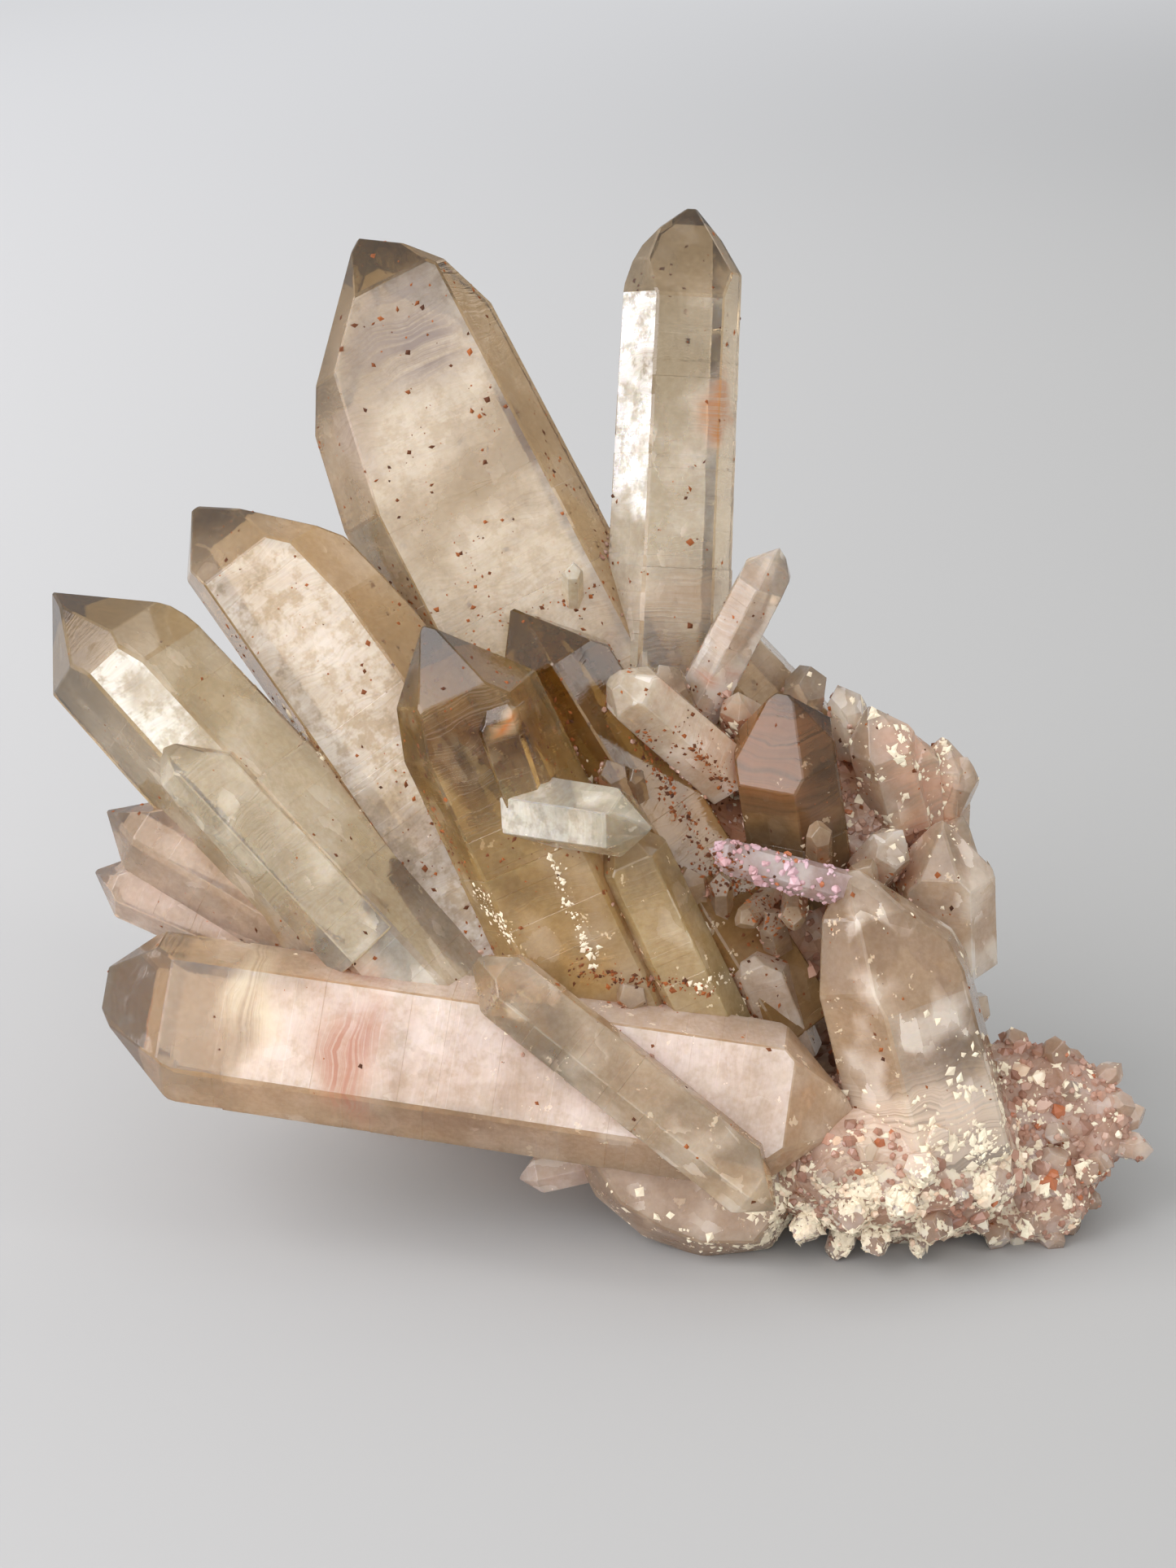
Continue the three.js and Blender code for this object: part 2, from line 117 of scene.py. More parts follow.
# Shorter crystals, as (foot, tip, half, turn)
SHORT_CRYSTALS = [
    # the right side, seen from the front
    ((37, 4, -2), (34.4, 14.4, 2), 2.6, 10),
    ((43, -5, -2), (37.6, 11.4, 8), 4.2, 5),
    ((45, -7, -4), (43, 9, 4), 4, 25),
    ((48, -8, -6), (48.2, 8, 1), 4, 0),
    ((47, -9, -7), (52.4, 4.6, 1), 2.8, 15),
    ((49, -24, -2), (47.4, -3.2, 8), 6.2, -14),
    ((47, -14, -5), (52.2, -3, 0), 4.2, 10),
    ((46, -20, -4), (53.6, -11, 2), 3.6, 20),
    ((48, -28, -4), (54.4, -19.6, 3), 2.8, 0),
    ((45, -38, -4), (54.4, -28.4, 4), 2.6, 12),
    ((36, -14, 4), (42.6, -5.4, 12), 3, 12),
    ((29, 8, -4), (30.2, 16.6, 3), 2.6, 30),
    ((22, -1, -5), (20.6, 13, 8.6), 2.8, 15),
    # the crevices between the long crystals
    ((15, 4, 2), (9.4, 16.4, 9), 2.6, 20),
    ((6, -6, 9), (2.4, 3.8, 17), 1.9, 8),
    ((7, -4, 9), (5.6, 2.2, 16.6), 1.5, 30),
    ((15, -20, 6), (13.4, -10.6, 14), 1.9, 12),
    ((18, -21, 6), (17.4, -11.6, 13), 1.7, 0),
    ((26, -24, 2), (23.6, -16.6, 16), 1.9, 24),
    ((26, -14, 6), (19.8, -18.6, 17.4), 1.6, 0),
    ((28, -13, 6), (26.6, -18.6, 18), 1.5, 18),
    ((31, -11, 8), (30.2, -5.6, 19.6), 1.6, 6),
    ((34, -16, 8), (37.2, -10.4, 18.6), 1.8, 0),
    ((-2, 20, -8), (-2.2, 30.2, 2.6), 1.3, 0),
    ((8, -34, 6), (5, -26, 16.6), 1.9, 14),
    ((14, -36, 6), (14.4, -27.4, 15.6), 2, 4),
    # the back
    ((0, -8, -16), (-28, 20, -29), 7.6, 10),
    ((6, -22, -20), (-38, -6, -27), 8, 24),
    ((14, -10, -18), (6, 30, -31), 6.6, 0),
    ((26, -18, -18), (24, 4, -40), 6.2, 16),
    ((4, -26, -22), (-12, -10, -46), 7, 8),
    ((-14, -34, -20), (-34, -24, -43), 6, 20),
    ((36, -26, -14), (45, -14, -35), 6.4, 12),
    ((18, -32, -24), (14, -22, -50), 5.6, 0),
    ((-4, -2, -14), (-12, 8, -38), 4.6, 30),
    ((38, -10, -12), (46, 4, -25), 4.8, 6),
]

IN_CREVICES = range(13, 26)  # which of them are small ones deep between the others

# The lumps of the root, each as (centre, radii, number of points, number for its chance)
LUMPS = {
    "heart": ((18, -20, -8), (25, 26, 17), 40, 1),
    "shoulder": ((34, -10, -8), (15, 18, 13), 30, 2),
    "saddle": ((-10, -18, -4), (22, 17, 13), 30, 3),
    "keel": ((16, -42, -18), (30, 17, 20), 34, 4),
    "right_foot": ((40, -50, 6), (20.4, 13.5, 15.6), 36, 5),
    "arm": ((59, -46.8, 0), (17.2, 12.4, 8.4), 38, 6),
    "arm_low": ((58.8, -54.6, 3.6), (10.4, 8.4, 6.6), 26, 7),
    "back_foot": ((-17, -41, -33), (21, 12.6, 14), 28, 8),
}

BLADE_OUTLINE = [(-3, -47.6), (1, -55.4), (7.4, -60.8), (15.4, -63.7), (24.6, -62.4), (31, -53), (20, -42)]
BLADE_BACK, BLADE_FRONT, BLADE_BEVEL = 0, 14, 3.2

# The larger druse on the lumps, as (lump, towards, spread, count, (least, greatest half width), number)
DRUSE = [
    ("arm", (0.5, 0.4, 1), 80, 15, (0.9, 1.9), 11),
    ("arm_low", (0.6, -0.5, 0.8), 70, 10, (0.9, 1.9), 12),
    ("right_foot", (-0.2, -0.5, 1), 58, 17, (1, 2.2), 13),
    ("shoulder", (1, 0.1, 0.1), 50, 9, (1.4, 2.6), 14),
    ("keel", (0, 0, -1), 60, 12, (1.6, 3.2), 15),
    ("back_foot", (-0.4, 0.3, -1), 66, 6, (1.4, 2.6), 16),
]
DRUSE_STANDS_OUT = 1.5
DRUSE_SPLAY = 0.42
# How thick the fine druse lies on each body
FINE_DRUSE = {"arm": 1, "arm_low": 1, "right_foot": 0.9, "shoulder": 0.7, "heart": 0.55, "keel": 0.5,
              "saddle": 0.5, "back_foot": 0.5, "lilac_splinter": 1.6}
FINE_DRUSE_COUNT, CLAY_COUNT, IRON_COUNT = 5200, 5500, 9000
# Grooves that clay and iron lie in, as (start, end on the display face, count, spread)
CLAY_GROOVES = [((-14.9, -13.4), (-10, -20.9), 120, 0.45), ((-4.9, -9.8), (1.0, -24), 110, 0.4),
                ((13, -27), (19, -25), 40, 0.6)]
IRON_GROOVES = [((6.6, 7.0), (17.8, -14), 230, 0.9), ((13.5, 4.5), (19.5, -1), 80, 0.7),
                ((17, -9), (25.5, -19.5), 200, 1.3), ((-2, -24.6), (16, -27), 150, 0.7),
                ((-22, -2), (-16, -12), 60, 0.5)]
# How specked with iron each crystal is, and how much those that aren't named are
SPECKS = {"great_left": 0.9, "upright": 0.3, "middle_left": 0.75, "outer_left": 0.18, "satellite": 0.15,
          "pink_upper": 0.5, "pink_lower": 0.3, "long_low": 0.10, "centre_left": 0.3, "centre_right": 0.3,
          "thumb": 0.6, "small_right": 0.2, "slope_right": 0.8, "amber_point": 0.15, "egg": 0.25,
          "block_low": 0.5, "lilac_splinter": 0.4, "cross_shard": 0.08}
OTHER_SPECKS = {"short": 0.25, "crevice": 0.5}
WITHOUT_CLAY = ("long_low", "cross_shard", "amber_point")
LONGEST_EDGE = 2.8
MOST_SPLITS = 7
ROCK_GRAIN, ROCK_PITS = 5, 1.7  # sizes of the roughness of the root
CREVICE_RAYS, CREVICE_REACH = 20, 14


def chance_of(number):
    """Repeatable chance between low and high, the same on every run for each number given."""
    state = ((number + 1) * 40503) & 0xFFFFFFFF

    def chance(low, high):
        nonlocal state
        state = (state * 1664525 + 1013904223) & 0xFFFFFFFF
        return low + (high - low) * state / 4294967296

    return chance


def tan(degrees):
    return math.tan(math.radians(degrees))


def crystal_planes(foot, tip, half, turn, faces, cut, steep=(), steep_slope=STEEP_SLOPE, blunt=0,
                   both=False, foot_cut=None, small=False, ledge=None):
    """The planes of a crystal as (normal, reach, what), and its axis and length."""
    foot, tip = Vector(foot), Vector(tip)
    axis = tip - foot
    length = axis.length
    axis.normalize()
    outward = (Vector((0, 0, 1)) - axis * axis.z).normalized()
    sideways = axis.cross(outward)
    lean = 0 if both else tan(PRISM_TAPER)
    planes = [] if both else [(-axis, 0, WORN)]
    if blunt:
        planes.append((axis.copy(), length - blunt, WORN))
    for k in range(FACES):
        angle = math.radians(60 * k + turn)
        radial = outward * math.cos(angle) + sideways * math.sin(angle)
        distance = half * faces[k]

        def tilted(degrees, side, start, along, what):
            c, s = math.cos(math.radians(degrees)), math.sin(math.radians(degrees)) * side
            planes.append((radial * c + axis * s, start * c + along * s, what))

        planes.append(((radial + axis * lean).normalized(),
                       (distance + lean * length * 0.6) / math.hypot(1, lean), k))
        if not small or k not in ODD:
            tilted(END_SLOPE, 1, 0, length - cut[k], END + k)
        if both:
            tilted(END_SLOPE, -1, 0, foot_cut[k], FOOT_END + k)
        if k in steep:
            tilted(steep_slope, 1, distance, length - steep[k], STEEP + k)
    return [(n, r + n.dot(foot), what) for n, r, what in planes], axis, length


def carve(planes, middle, size):
    """A closed convex body that keeps to the inner side of all the planes, its faces marked."""
    bm = bmesh.new()
    bmesh.ops.create_cube(bm, size=size, matrix=Matrix.Translation(middle))
    what_is = bm.faces.layers.int.new("what")
    shave(bm, planes, what_is)
    return bm, what_is


def shave(bm, planes, what_is):
    """Cuts away what lies beyond each plane, and marks the new faces."""
    for normal, reach, what in planes:
        bmesh.ops.bisect_plane(bm, geom=bm.verts[:] + bm.edges[:] + bm.faces[:], dist=1e-5,
                               plane_co=normal * reach, plane_no=normal, clear_outer=True)
        rim = [e for e in bm.edges if e.is_boundary]
        if rim:
            for face in bmesh.ops.holes_fill(bm, edges=rim, sides=0)["faces"]:
                face[what_is] = what


def chamfers(bm, widths):
    """A plane along each edge of a convex body, that takes the edge off as wide as widths gives."""
    bm.normal_update()
    planes = []
    for edge in bm.edges:
        a, b = edge.link_faces
        angle = a.normal.angle(b.normal, 0)
        if angle < math.radians(4):
            continue
        normal = (a.normal + b.normal).normalized()
        depth = widths(edge) * math.tan(angle / 2) / 2
        planes.append((normal, normal.dot(edge.verts[0].co) - depth, CHAMFER))
    return planes


def terraces(bm, what_is, foot, axis, length, ledge, chance, pitch):
    """Cuts the prism faces across the axis and lifts them by turns, as layers of growth do."""
    bm.normal_update()

    def along(v):
        return (v.co - foot).dot(axis)

    end_faces = [f for f in bm.faces if END <= f[what_is] < WORN]
    ends = [along(v) for f in end_faces for v in f.verts]
    tops = [a for a in ends if a > length / 2]
    high = (min(tops) if tops else max(map(along, bm.verts))) - 0.3
    lows = [a for a in ends if a <= length / 2]
    low = (max(lows) if lows else min(map(along, bm.verts))) + 0.3
    normals = [None] * FACES
    for f in bm.faces:
        if f[what_is] < FACES:
            normals[f[what_is]] = f.normal.copy()
    cuts, lifts = [], [[0] * FACES]
    at = high
    ledge_at = length - ledge[2] if ledge else -1
    while at > low + pitch:
        at -= chance(0.25, 1.9) * pitch
        past = at < ledge_at and (not cuts or cuts[-1] > ledge_at)
        if past:
            at = ledge_at
        cuts.append(at)
        base = [0] * FACES
        if ledge and at <= ledge_at:
            base = [ledge[1] if k == ledge[0] else LAYER for k in range(FACES)]
        lifts.append([b + chance(-1, 1) * TERRACE_LIFT for b in base])
    for at in cuts:
        for place in (at, at - RISER):
            bmesh.ops.bisect_plane(bm, geom=bm.verts[:] + bm.edges[:] + bm.faces[:], dist=1e-5,
                                   plane_co=foot + axis * place, plane_no=axis)
    levels = np.array(cuts)
    moves = {}
    for f in bm.faces:
        k = f[what_is]
        if k >= FACES or not normals[k]:
            continue
        for v in f.verts:
            a = along(v)
            if a > high + 1e-3 or a < low - 1e-3:
                continue
            level = int((levels - RISER / 2 > a).sum())
            moves.setdefault(v, {})[k] = normals[k] * lifts[level][k]
    for v, by_face in moves.items():
        for move in by_face.values():
            v.co += move


def crystal(name, number, **c):
    """One crystal as a mesh whose faces say which crystal they are of and what they are."""
    chance = chance_of(1000 + number)
    planes, axis, length = crystal_planes(**c)
    foot = Vector(c["foot"])
    bm, what_is = carve(planes, foot + axis * length / 2, length * 2 + c["half"] * 6)
    wide = min(0.5, 0.055 * c["half"]) if c["half"] > 3 else 0.1
    shave(bm, chamfers(bm, lambda e: wide * chance(0.5, 1.4)), what_is)
    if c["half"] >= 3.4 and not c.get("blunt"):
        terraces(bm, what_is, foot, axis, length, c.get("ledge"), chance, 2.2 + 0.12 * c["half"])
    return finished(bm, name, number)


def finished(bm, name, number):
    """The body as an object that stands in the world, its faces marked with its number."""
    bmesh.ops.recalc_face_normals(bm, faces=bm.faces[:])
    which = bm.faces.layers.int.new("which")
    for f in bm.faces:
        f[which] = number
    bm.transform(STANDING)
    mesh = bpy.data.meshes.new(name)
    bm.to_mesh(mesh)
    bm.free()
    return bpy.data.objects.new(name, mesh)


def rough_crystal(name, number, foot, tip, half, turn, chance):
    """A crystal whose faces are drawn by chance."""
    faces = [chance(0.86, 1.1) for _ in range(FACES)]
    cut = [chance(0, 0.55) * half for _ in range(FACES)]
    return crystal(name, number, foot=foot, tip=tip, half=half, turn=turn, faces=faces, cut=cut,
                   small=half < SMALL)


def sphere_directions(count):
    """Directions spread evenly all round."""
    golden = math.pi * (3 - math.sqrt(5))
    directions = []
    for i in range(count):
        up = 1 - (2 * i + 1) / count
        level = math.sqrt(1 - up * up)
        directions.append(Vector((level * math.cos(golden * i), level * math.sin(golden * i), up)))
    return directions


def times(a, b):
    return Vector((a[0] * b[0], a[1] * b[1], a[2] * b[2]))


def hull(name, number, points):
    """The body that the points span, with worn edges."""
    bm = bmesh.new()
    for p in points:
        bm.verts.new(p)
    bmesh.ops.convex_hull(bm, input=bm.verts[:])
    loose = [v for v in bm.verts if not v.link_faces]
    bmesh.ops.delete(bm, geom=loose, context="VERTS")
    what_is = bm.faces.layers.int.new("what")
    bmesh.ops.recalc_face_normals(bm, faces=bm.faces[:])
    shave(bm, chamfers(bm, lambda e: ROOT_EDGE), what_is)
    return finished(bm, name, number)


def lump(name, number, at, radii, facets, chance):
    """A rough lump of the root."""
    points = [times(d, radii) * chance(0.84, 1.06) + Vector(at) for d in sphere_directions(facets)]
    return hull(name, number, points)


def blade(number):
    """The thin blade of quartz, bevelled to its rim from both sides."""
    middle = (BLADE_BACK + BLADE_FRONT) / 2
    centre = sum((Vector(p) for p in BLADE_OUTLINE), Vector((0, 0))) / len(BLADE_OUTLINE)
    points = []
    for p in map(Vector, BLADE_OUTLINE):
        inner = p + (centre - p).normalized() * BLADE_BEVEL
        points += [(*p, middle), (*inner, BLADE_FRONT), (*inner, BLADE_BACK)]
    return hull("blade", number, [Vector(p) for p in points])


def druse_crystals():
    """The feet, tips, widths and turns of the druse crystals that the solids have too."""
    for on, towards, spread, count, size, number in DRUSE:
        chance = chance_of(number)
        at, radii = Vector(LUMPS[on][0]), LUMPS[on][1]
        look = Vector(towards).normalized()
        least = math.cos(math.radians(spread))
        for d in sphere_directions(int(count / ((1 - least) / 2) + 0.5)):
            if d.dot(look) <= least:
                continue
            half = chance(*size)
            surface = times(d, radii) * 0.95 + at
            splay = Vector((chance(-1, 1), chance(-1, 1), chance(-1, 1)))
            out = Vector(d[i] / radii[i] for i in range(3)).normalized() + splay * DRUSE_SPLAY
            out.normalize()
            yield (surface - out * half * DRUSE_STANDS_OUT, surface + out * half * DRUSE_STANDS_OUT, half,
                   chance(0, 60), chance)


def grown():
    """Every body that the cluster is joined from, with the facts of each crystal by its number."""
    bodies, facts = [], []

    def note(kind, name, foot=(0, 0, 0), tip=(0, 0, 1), half=1):
        facts.append(dict(kind=kind, name=name, foot=Vector(foot), tip=Vector(tip), half=half))
        return len(facts) - 1

    for name, (at, radii, points, number) in LUMPS.items():
        bodies.append(lump(name, note("lump", name, half=8), at, radii, points, chance_of(number)))
    bodies.append(blade(note("blade", "blade", half=8)))
    for name, c in LONG_CRYSTALS.items():
        number = note("long", name, c["foot"], c["tip"], c["half"])
        bodies.append(crystal(name, number, **c))
    for i, c in enumerate(SHORT_CRYSTALS):
        number = note("crevice" if i in IN_CREVICES else "short", f"short_{i}", *c[:3])
        bodies.append(rough_crystal(f"short_{i}", number, *c, chance_of(i)))
    for i, (foot, tip, half, turn, chance) in enumerate(druse_crystals()):
        number = note("druse", f"druse_{i}", foot, tip, half)
        bodies.append(rough_crystal(f"druse_{i}", number, foot, tip, half, turn, chance))
    return bodies, facts


def joined(bodies):
    """The bodies grown together as one closed mesh, worn flat underneath."""
    scene = bpy.context.scene
    first, others = bodies[0], bpy.data.collections.new("bodies")
    scene.collection.objects.link(first)
    scene.collection.children.link(others)
    for body in bodies[1:]:
        others.objects.link(body)
    bm = bmesh.new()
    bmesh.ops.create_cube(bm, size=400, matrix=Matrix.Translation((0, 0, -200)))
    what_is, which = bm.faces.layers.int.new("what"), bm.faces.layers.int.new("which")
    for f in bm.faces:
        f[what_is], f[which] = WORN, 0
    mesh = bpy.data.meshes.new("below")
    bm.to_mesh(mesh)
    bm.free()
    below = bpy.data.objects.new("below", mesh)
    scene.collection.objects.link(below)
    union = first.modifiers.new("grown", "BOOLEAN")
    union.operation, union.solver = "UNION", "MANIFOLD"
    union.operand_type, union.collection = "COLLECTION", others
    worn = first.modifiers.new("worn", "BOOLEAN")
    worn.operation, worn.solver, worn.object = "DIFFERENCE", "MANIFOLD", below
    whole = bpy.data.meshes.new_from_object(first.evaluated_get(bpy.context.evaluated_depsgraph_get()))
    for body in [*bodies, below]:
        bpy.data.objects.remove(body)
    bpy.data.collections.remove(others)
    return whole


def store(mesh, name, values, domain="FACE"):
    """Stores one number or vector for each face, or each point, of the mesh."""
    values = np.asarray(values, dtype=np.float32)
    kind, key = ("FLOAT", "value") if values.ndim == 1 else ("FLOAT_VECTOR", "vector")
    layer = mesh.attributes.new(name, kind, domain)
    layer.data.foreach_set(key, values.ravel())


def face_numbers(mesh, name):
    """The whole number of that name that each face was marked with."""
    numbers = np.empty(len(mesh.polygons), dtype=np.int32)
    mesh.attributes[name].data.foreach_get("value", numbers)
    return numbers


def put(name, data):
    """An object of that data, in the scene."""
    thing = bpy.data.objects.new(name, data)
    bpy.context.scene.collection.objects.link(thing)
    return thing


def arrays(mesh):
    """The places of a mesh's points, and its triangles' corners."""
    places = np.empty(len(mesh.vertices) * 3)
    mesh.vertices.foreach_get("co", places)
    mesh.calc_loop_triangles()
    corners = np.empty(len(mesh.loop_triangles) * 3, dtype=np.int32)
    mesh.loop_triangles.foreach_get("vertices", corners)
    return places.reshape(-1, 3), corners.reshape(-1, 3)


def refine(mesh, facts):
    """Splits the faces until no edge is much longer than the longest, and roughens the massive root."""
    bm = bmesh.new()
    bm.from_mesh(mesh)
    bmesh.ops.triangulate(bm, faces=bm.faces[:])
    for _ in range(MOST_SPLITS):
        long_ones = [e for e in bm.edges if e.calc_length() > LONGEST_EDGE]
        if not long_ones:
            break
        bmesh.ops.subdivide_edges(bm, edges=long_ones, cuts=1, use_grid_fill=False)
        bmesh.ops.triangulate(bm, faces=[f for f in bm.faces if len(f.verts) > 3])
    which = bm.faces.layers.int["which"]
    rocky = {i for i, c in enumerate(facts) if c["kind"] == "lump"}
    bm.normal_update()
    for v in bm.verts:
        if v.co.z > 0.4 and all(f[which] in rocky for f in v.link_faces):
            push = noise.fractal(v.co / ROCK_GRAIN, 0.9, 2.2, 5) + 0.5 * noise.noise(v.co / ROCK_PITS)
            v.co += v.normal * (push * 0.8 - 0.25)
    settle(bm, which)
    bm.to_mesh(mesh)
    bm.free()


def settle(bm, which):
    """Takes out triangles that lie back to back, and orders the others the same way on each run."""
    bm.verts.index_update()
    by_place = {}
    for f in bm.faces:
        a, b, c = (v.index for v in f.verts)
        while a > min(b, c):
            a, b, c = b, c, a
        by_place.setdefault((a, min(b, c), max(b, c)), []).append((1 if b < c else -1, f[which], f))
    doubled = []
    for faces in by_place.values():
        way = sum(entry[0] for entry in faces)
        faces.sort(key=lambda entry: (entry[0] * way <= 0, entry[1]))
        doubled += [f for _, _, f in faces[1 if way else 0:]]
    bmesh.ops.delete(bm, geom=doubled, context="FACES")
    bm.verts.index_update()
    count = len(bm.verts)

    def rank(face):
        a, b, c = sorted(v.index for v in face.verts)
        return (a * count + b) * count + c

    bm.faces.sort(key=rank)


def cavities(mesh):
    """How shut in each point of the mesh is, from 0 in the open to 1 deep in a crevice."""
    tree = BVHTree.FromPolygons([v.co for v in mesh.vertices], [p.vertices for p in mesh.polygons])
    fan = [d for d in sphere_directions(CREVICE_RAYS * 2) if d.z > 0.12]
    shut = np.zeros(len(mesh.vertices), dtype=np.float32)
    for v in mesh.vertices:
        turn = v.normal.to_track_quat("Z", "Y")
        start = v.co + v.normal * 0.02
        total = 0.0
        for d in fan:
            away = tree.ray_cast(start, turn @ d, CREVICE_REACH)[3]
            if away is not None:
                total += d.z * (1 - away / CREVICE_REACH)
        shut[v.index] = total
    shut /= sum(d.z for d in fan)
    store(mesh, "cavity", shut, "POINT")
    return shut


def turned_to(directions, spins):
    """Matrices that turn +Z to each direction, after a spin about it."""
    z = directions / np.linalg.norm(directions, axis=1, keepdims=True)
    helper = np.where(np.abs(z[:, :1]) > 0.9, (0, 1, 0), (1, 0, 0))
    x = np.cross(helper, z)
    x /= np.linalg.norm(x, axis=1, keepdims=True)
    y = np.cross(z, x)
    c, s = np.cos(spins)[:, None], np.sin(spins)[:, None]
    return np.stack([x * c + y * s, y * c - x * s, z], axis=2)


def strewn(name, shapes, faces, at, turns, sizes, tones, material):
    """One mesh of many small bodies, each of its own shape, place, turn, size and tone."""
    count, corners = shapes.shape[:2]
    points = np.einsum("nij,nkj->nki", turns, shapes * sizes[:, None, :]) + at[:, None, :]
    mesh = bpy.data.meshes.new(name)
    shifted = (np.array(faces)[None] + (np.arange(count) * corners)[:, None, None]).reshape(-1, 3)
    mesh.from_pydata(points.reshape(-1, 3) * MM, [], shifted.tolist())
    store(mesh, "tone", np.repeat(tones, len(faces), axis=0))
    mesh.materials.append(material)
    piece = put(name, mesh)
    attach(piece, "root")


def small_crystals(count, rng):
    """Shapes of count small crystals, each a closed prism with an uneven point, and their faces."""
    ring = np.arange(FACES) * math.pi / 3
    shapes = np.zeros((count, 2 * FACES + 2, 3))
    wide = rng.uniform(0.8, 1.12, (count, FACES))
    for row, height in ((0, -1.4), (1, 0.0)):
        part = slice(row * FACES, (row + 1) * FACES)
        shapes[:, part, 0], shapes[:, part, 1] = np.cos(ring) * wide, np.sin(ring) * wide
        shapes[:, part, 2] = height + (rng.uniform(-0.35, 0.25, (count, FACES)) if row else 0)
    shapes[:, -2] = (0, 0, -1.4)
    shapes[:, -1, :2] = rng.uniform(-0.3, 0.3, (count, 2))
    shapes[:, -1, 2] = rng.uniform(0.75, 1.1, count)
    faces = []
    for k in range(FACES):
        n = (k + 1) % FACES
        faces += [(k, n, FACES + n), (k, FACES + n, FACES + k), (FACES + k, FACES + n, 2 * FACES + 1),
                  (n, k, 2 * FACES)]
    return shapes, faces


def chips(count, rng):
    """Shapes of count sharp chips, and their faces."""
    points = np.array([(1, 0, 0), (0, 1, 0), (-1, 0, 0), (0, -1, 0), (0, 0, 1), (0, 0, -1)])
    faces = [(k, (k + 1) % 4, 4) for k in range(4)] + [((k + 1) % 4, k, 5) for k in range(4)]
    return points[None] * rng.uniform(0.45, 1.3, (count, 6, 1)), faces


def on_surface(places, corners, weights, count, rng):
    """Points spread over the triangles by weight, with the way each looks and its triangle."""
    a, b, c = (places[corners[:, i]] for i in range(3))
    normal = np.cross(b - a, c - a)
    area = np.linalg.norm(normal, axis=1) / 2
    chances = area * weights
    picked = rng.choice(len(corners), size=count, p=chances / chances.sum())
    u, v = rng.random((2, count))
    flip = u + v > 1
    u, v = np.where(flip, 1 - u, u)[:, None], np.where(flip, 1 - v, v)[:, None]
    at = a[picked] + (b - a)[picked] * u + (c - a)[picked] * v
    return at, (normal / np.maximum(2 * area, 1e-9)[:, None])[picked], picked


def on_face(places):
    """World points as they lie on the display face."""
    back = np.array(STANDING.inverted())
    return places @ back[:3, :3].T + back[:3, 3]


def pocked(places, size):
    """Uneven shares between 0 and 1, drawn from noise of that size at each place."""
    return np.array([0.5 + 0.5 * noise.noise(Vector(p) / size) for p in places])


def along_grooves(mesh, grooves, rng):
    """Points of the surface that lie on the grooves as seen from in front, and the way it looks there."""
    tree = BVHTree.FromPolygons([v.co for v in mesh.vertices], [p.vertices for p in mesh.polygons])
    ahead = STANDING.to_3x3() @ Vector((0, 0, 1))
    found = []
    for start, end, count, spread in grooves:
        for share, aside, above in zip(rng.random(count), *rng.normal(0, spread, (2, count))):
            u, v = Vector(start).lerp(Vector(end), share) + Vector((aside, above))
            at, out, _, _ = tree.ray_cast(STANDING @ Vector((u, v, 60)), -ahead)
            if at is not None:
                found.append((at, out))
    return np.array([a for a, _ in found]), np.array([o for _, o in found])


def strew_chips(name, surface, weights, count, grooves, half, thick, tones, material, rng):
    """Chips spread over the surface by weight, and more of them along grooves.

    The surface is (mesh, places, corners). For half and tones there is a call that draws them."""
    mesh, places, corners = surface
    at, out, _ = on_surface(places, corners, weights, count, rng)
    more_at, more_out = along_grooves(mesh, grooves, rng)
    at, out = np.concatenate([at, more_at]), np.concatenate([out, more_out])
    count = len(at)
    half = half(count, len(more_at))
    sizes = np.stack([half, half * rng.uniform(0.5, 1, count), half * rng.uniform(*thick, count)], axis=1)
    shapes, faces = chips(count, rng)
    tones = tones(count)
    strewn(name, shapes, faces, at, turned_to(out, rng.uniform(0, 6.28, count)), sizes, tones, material)


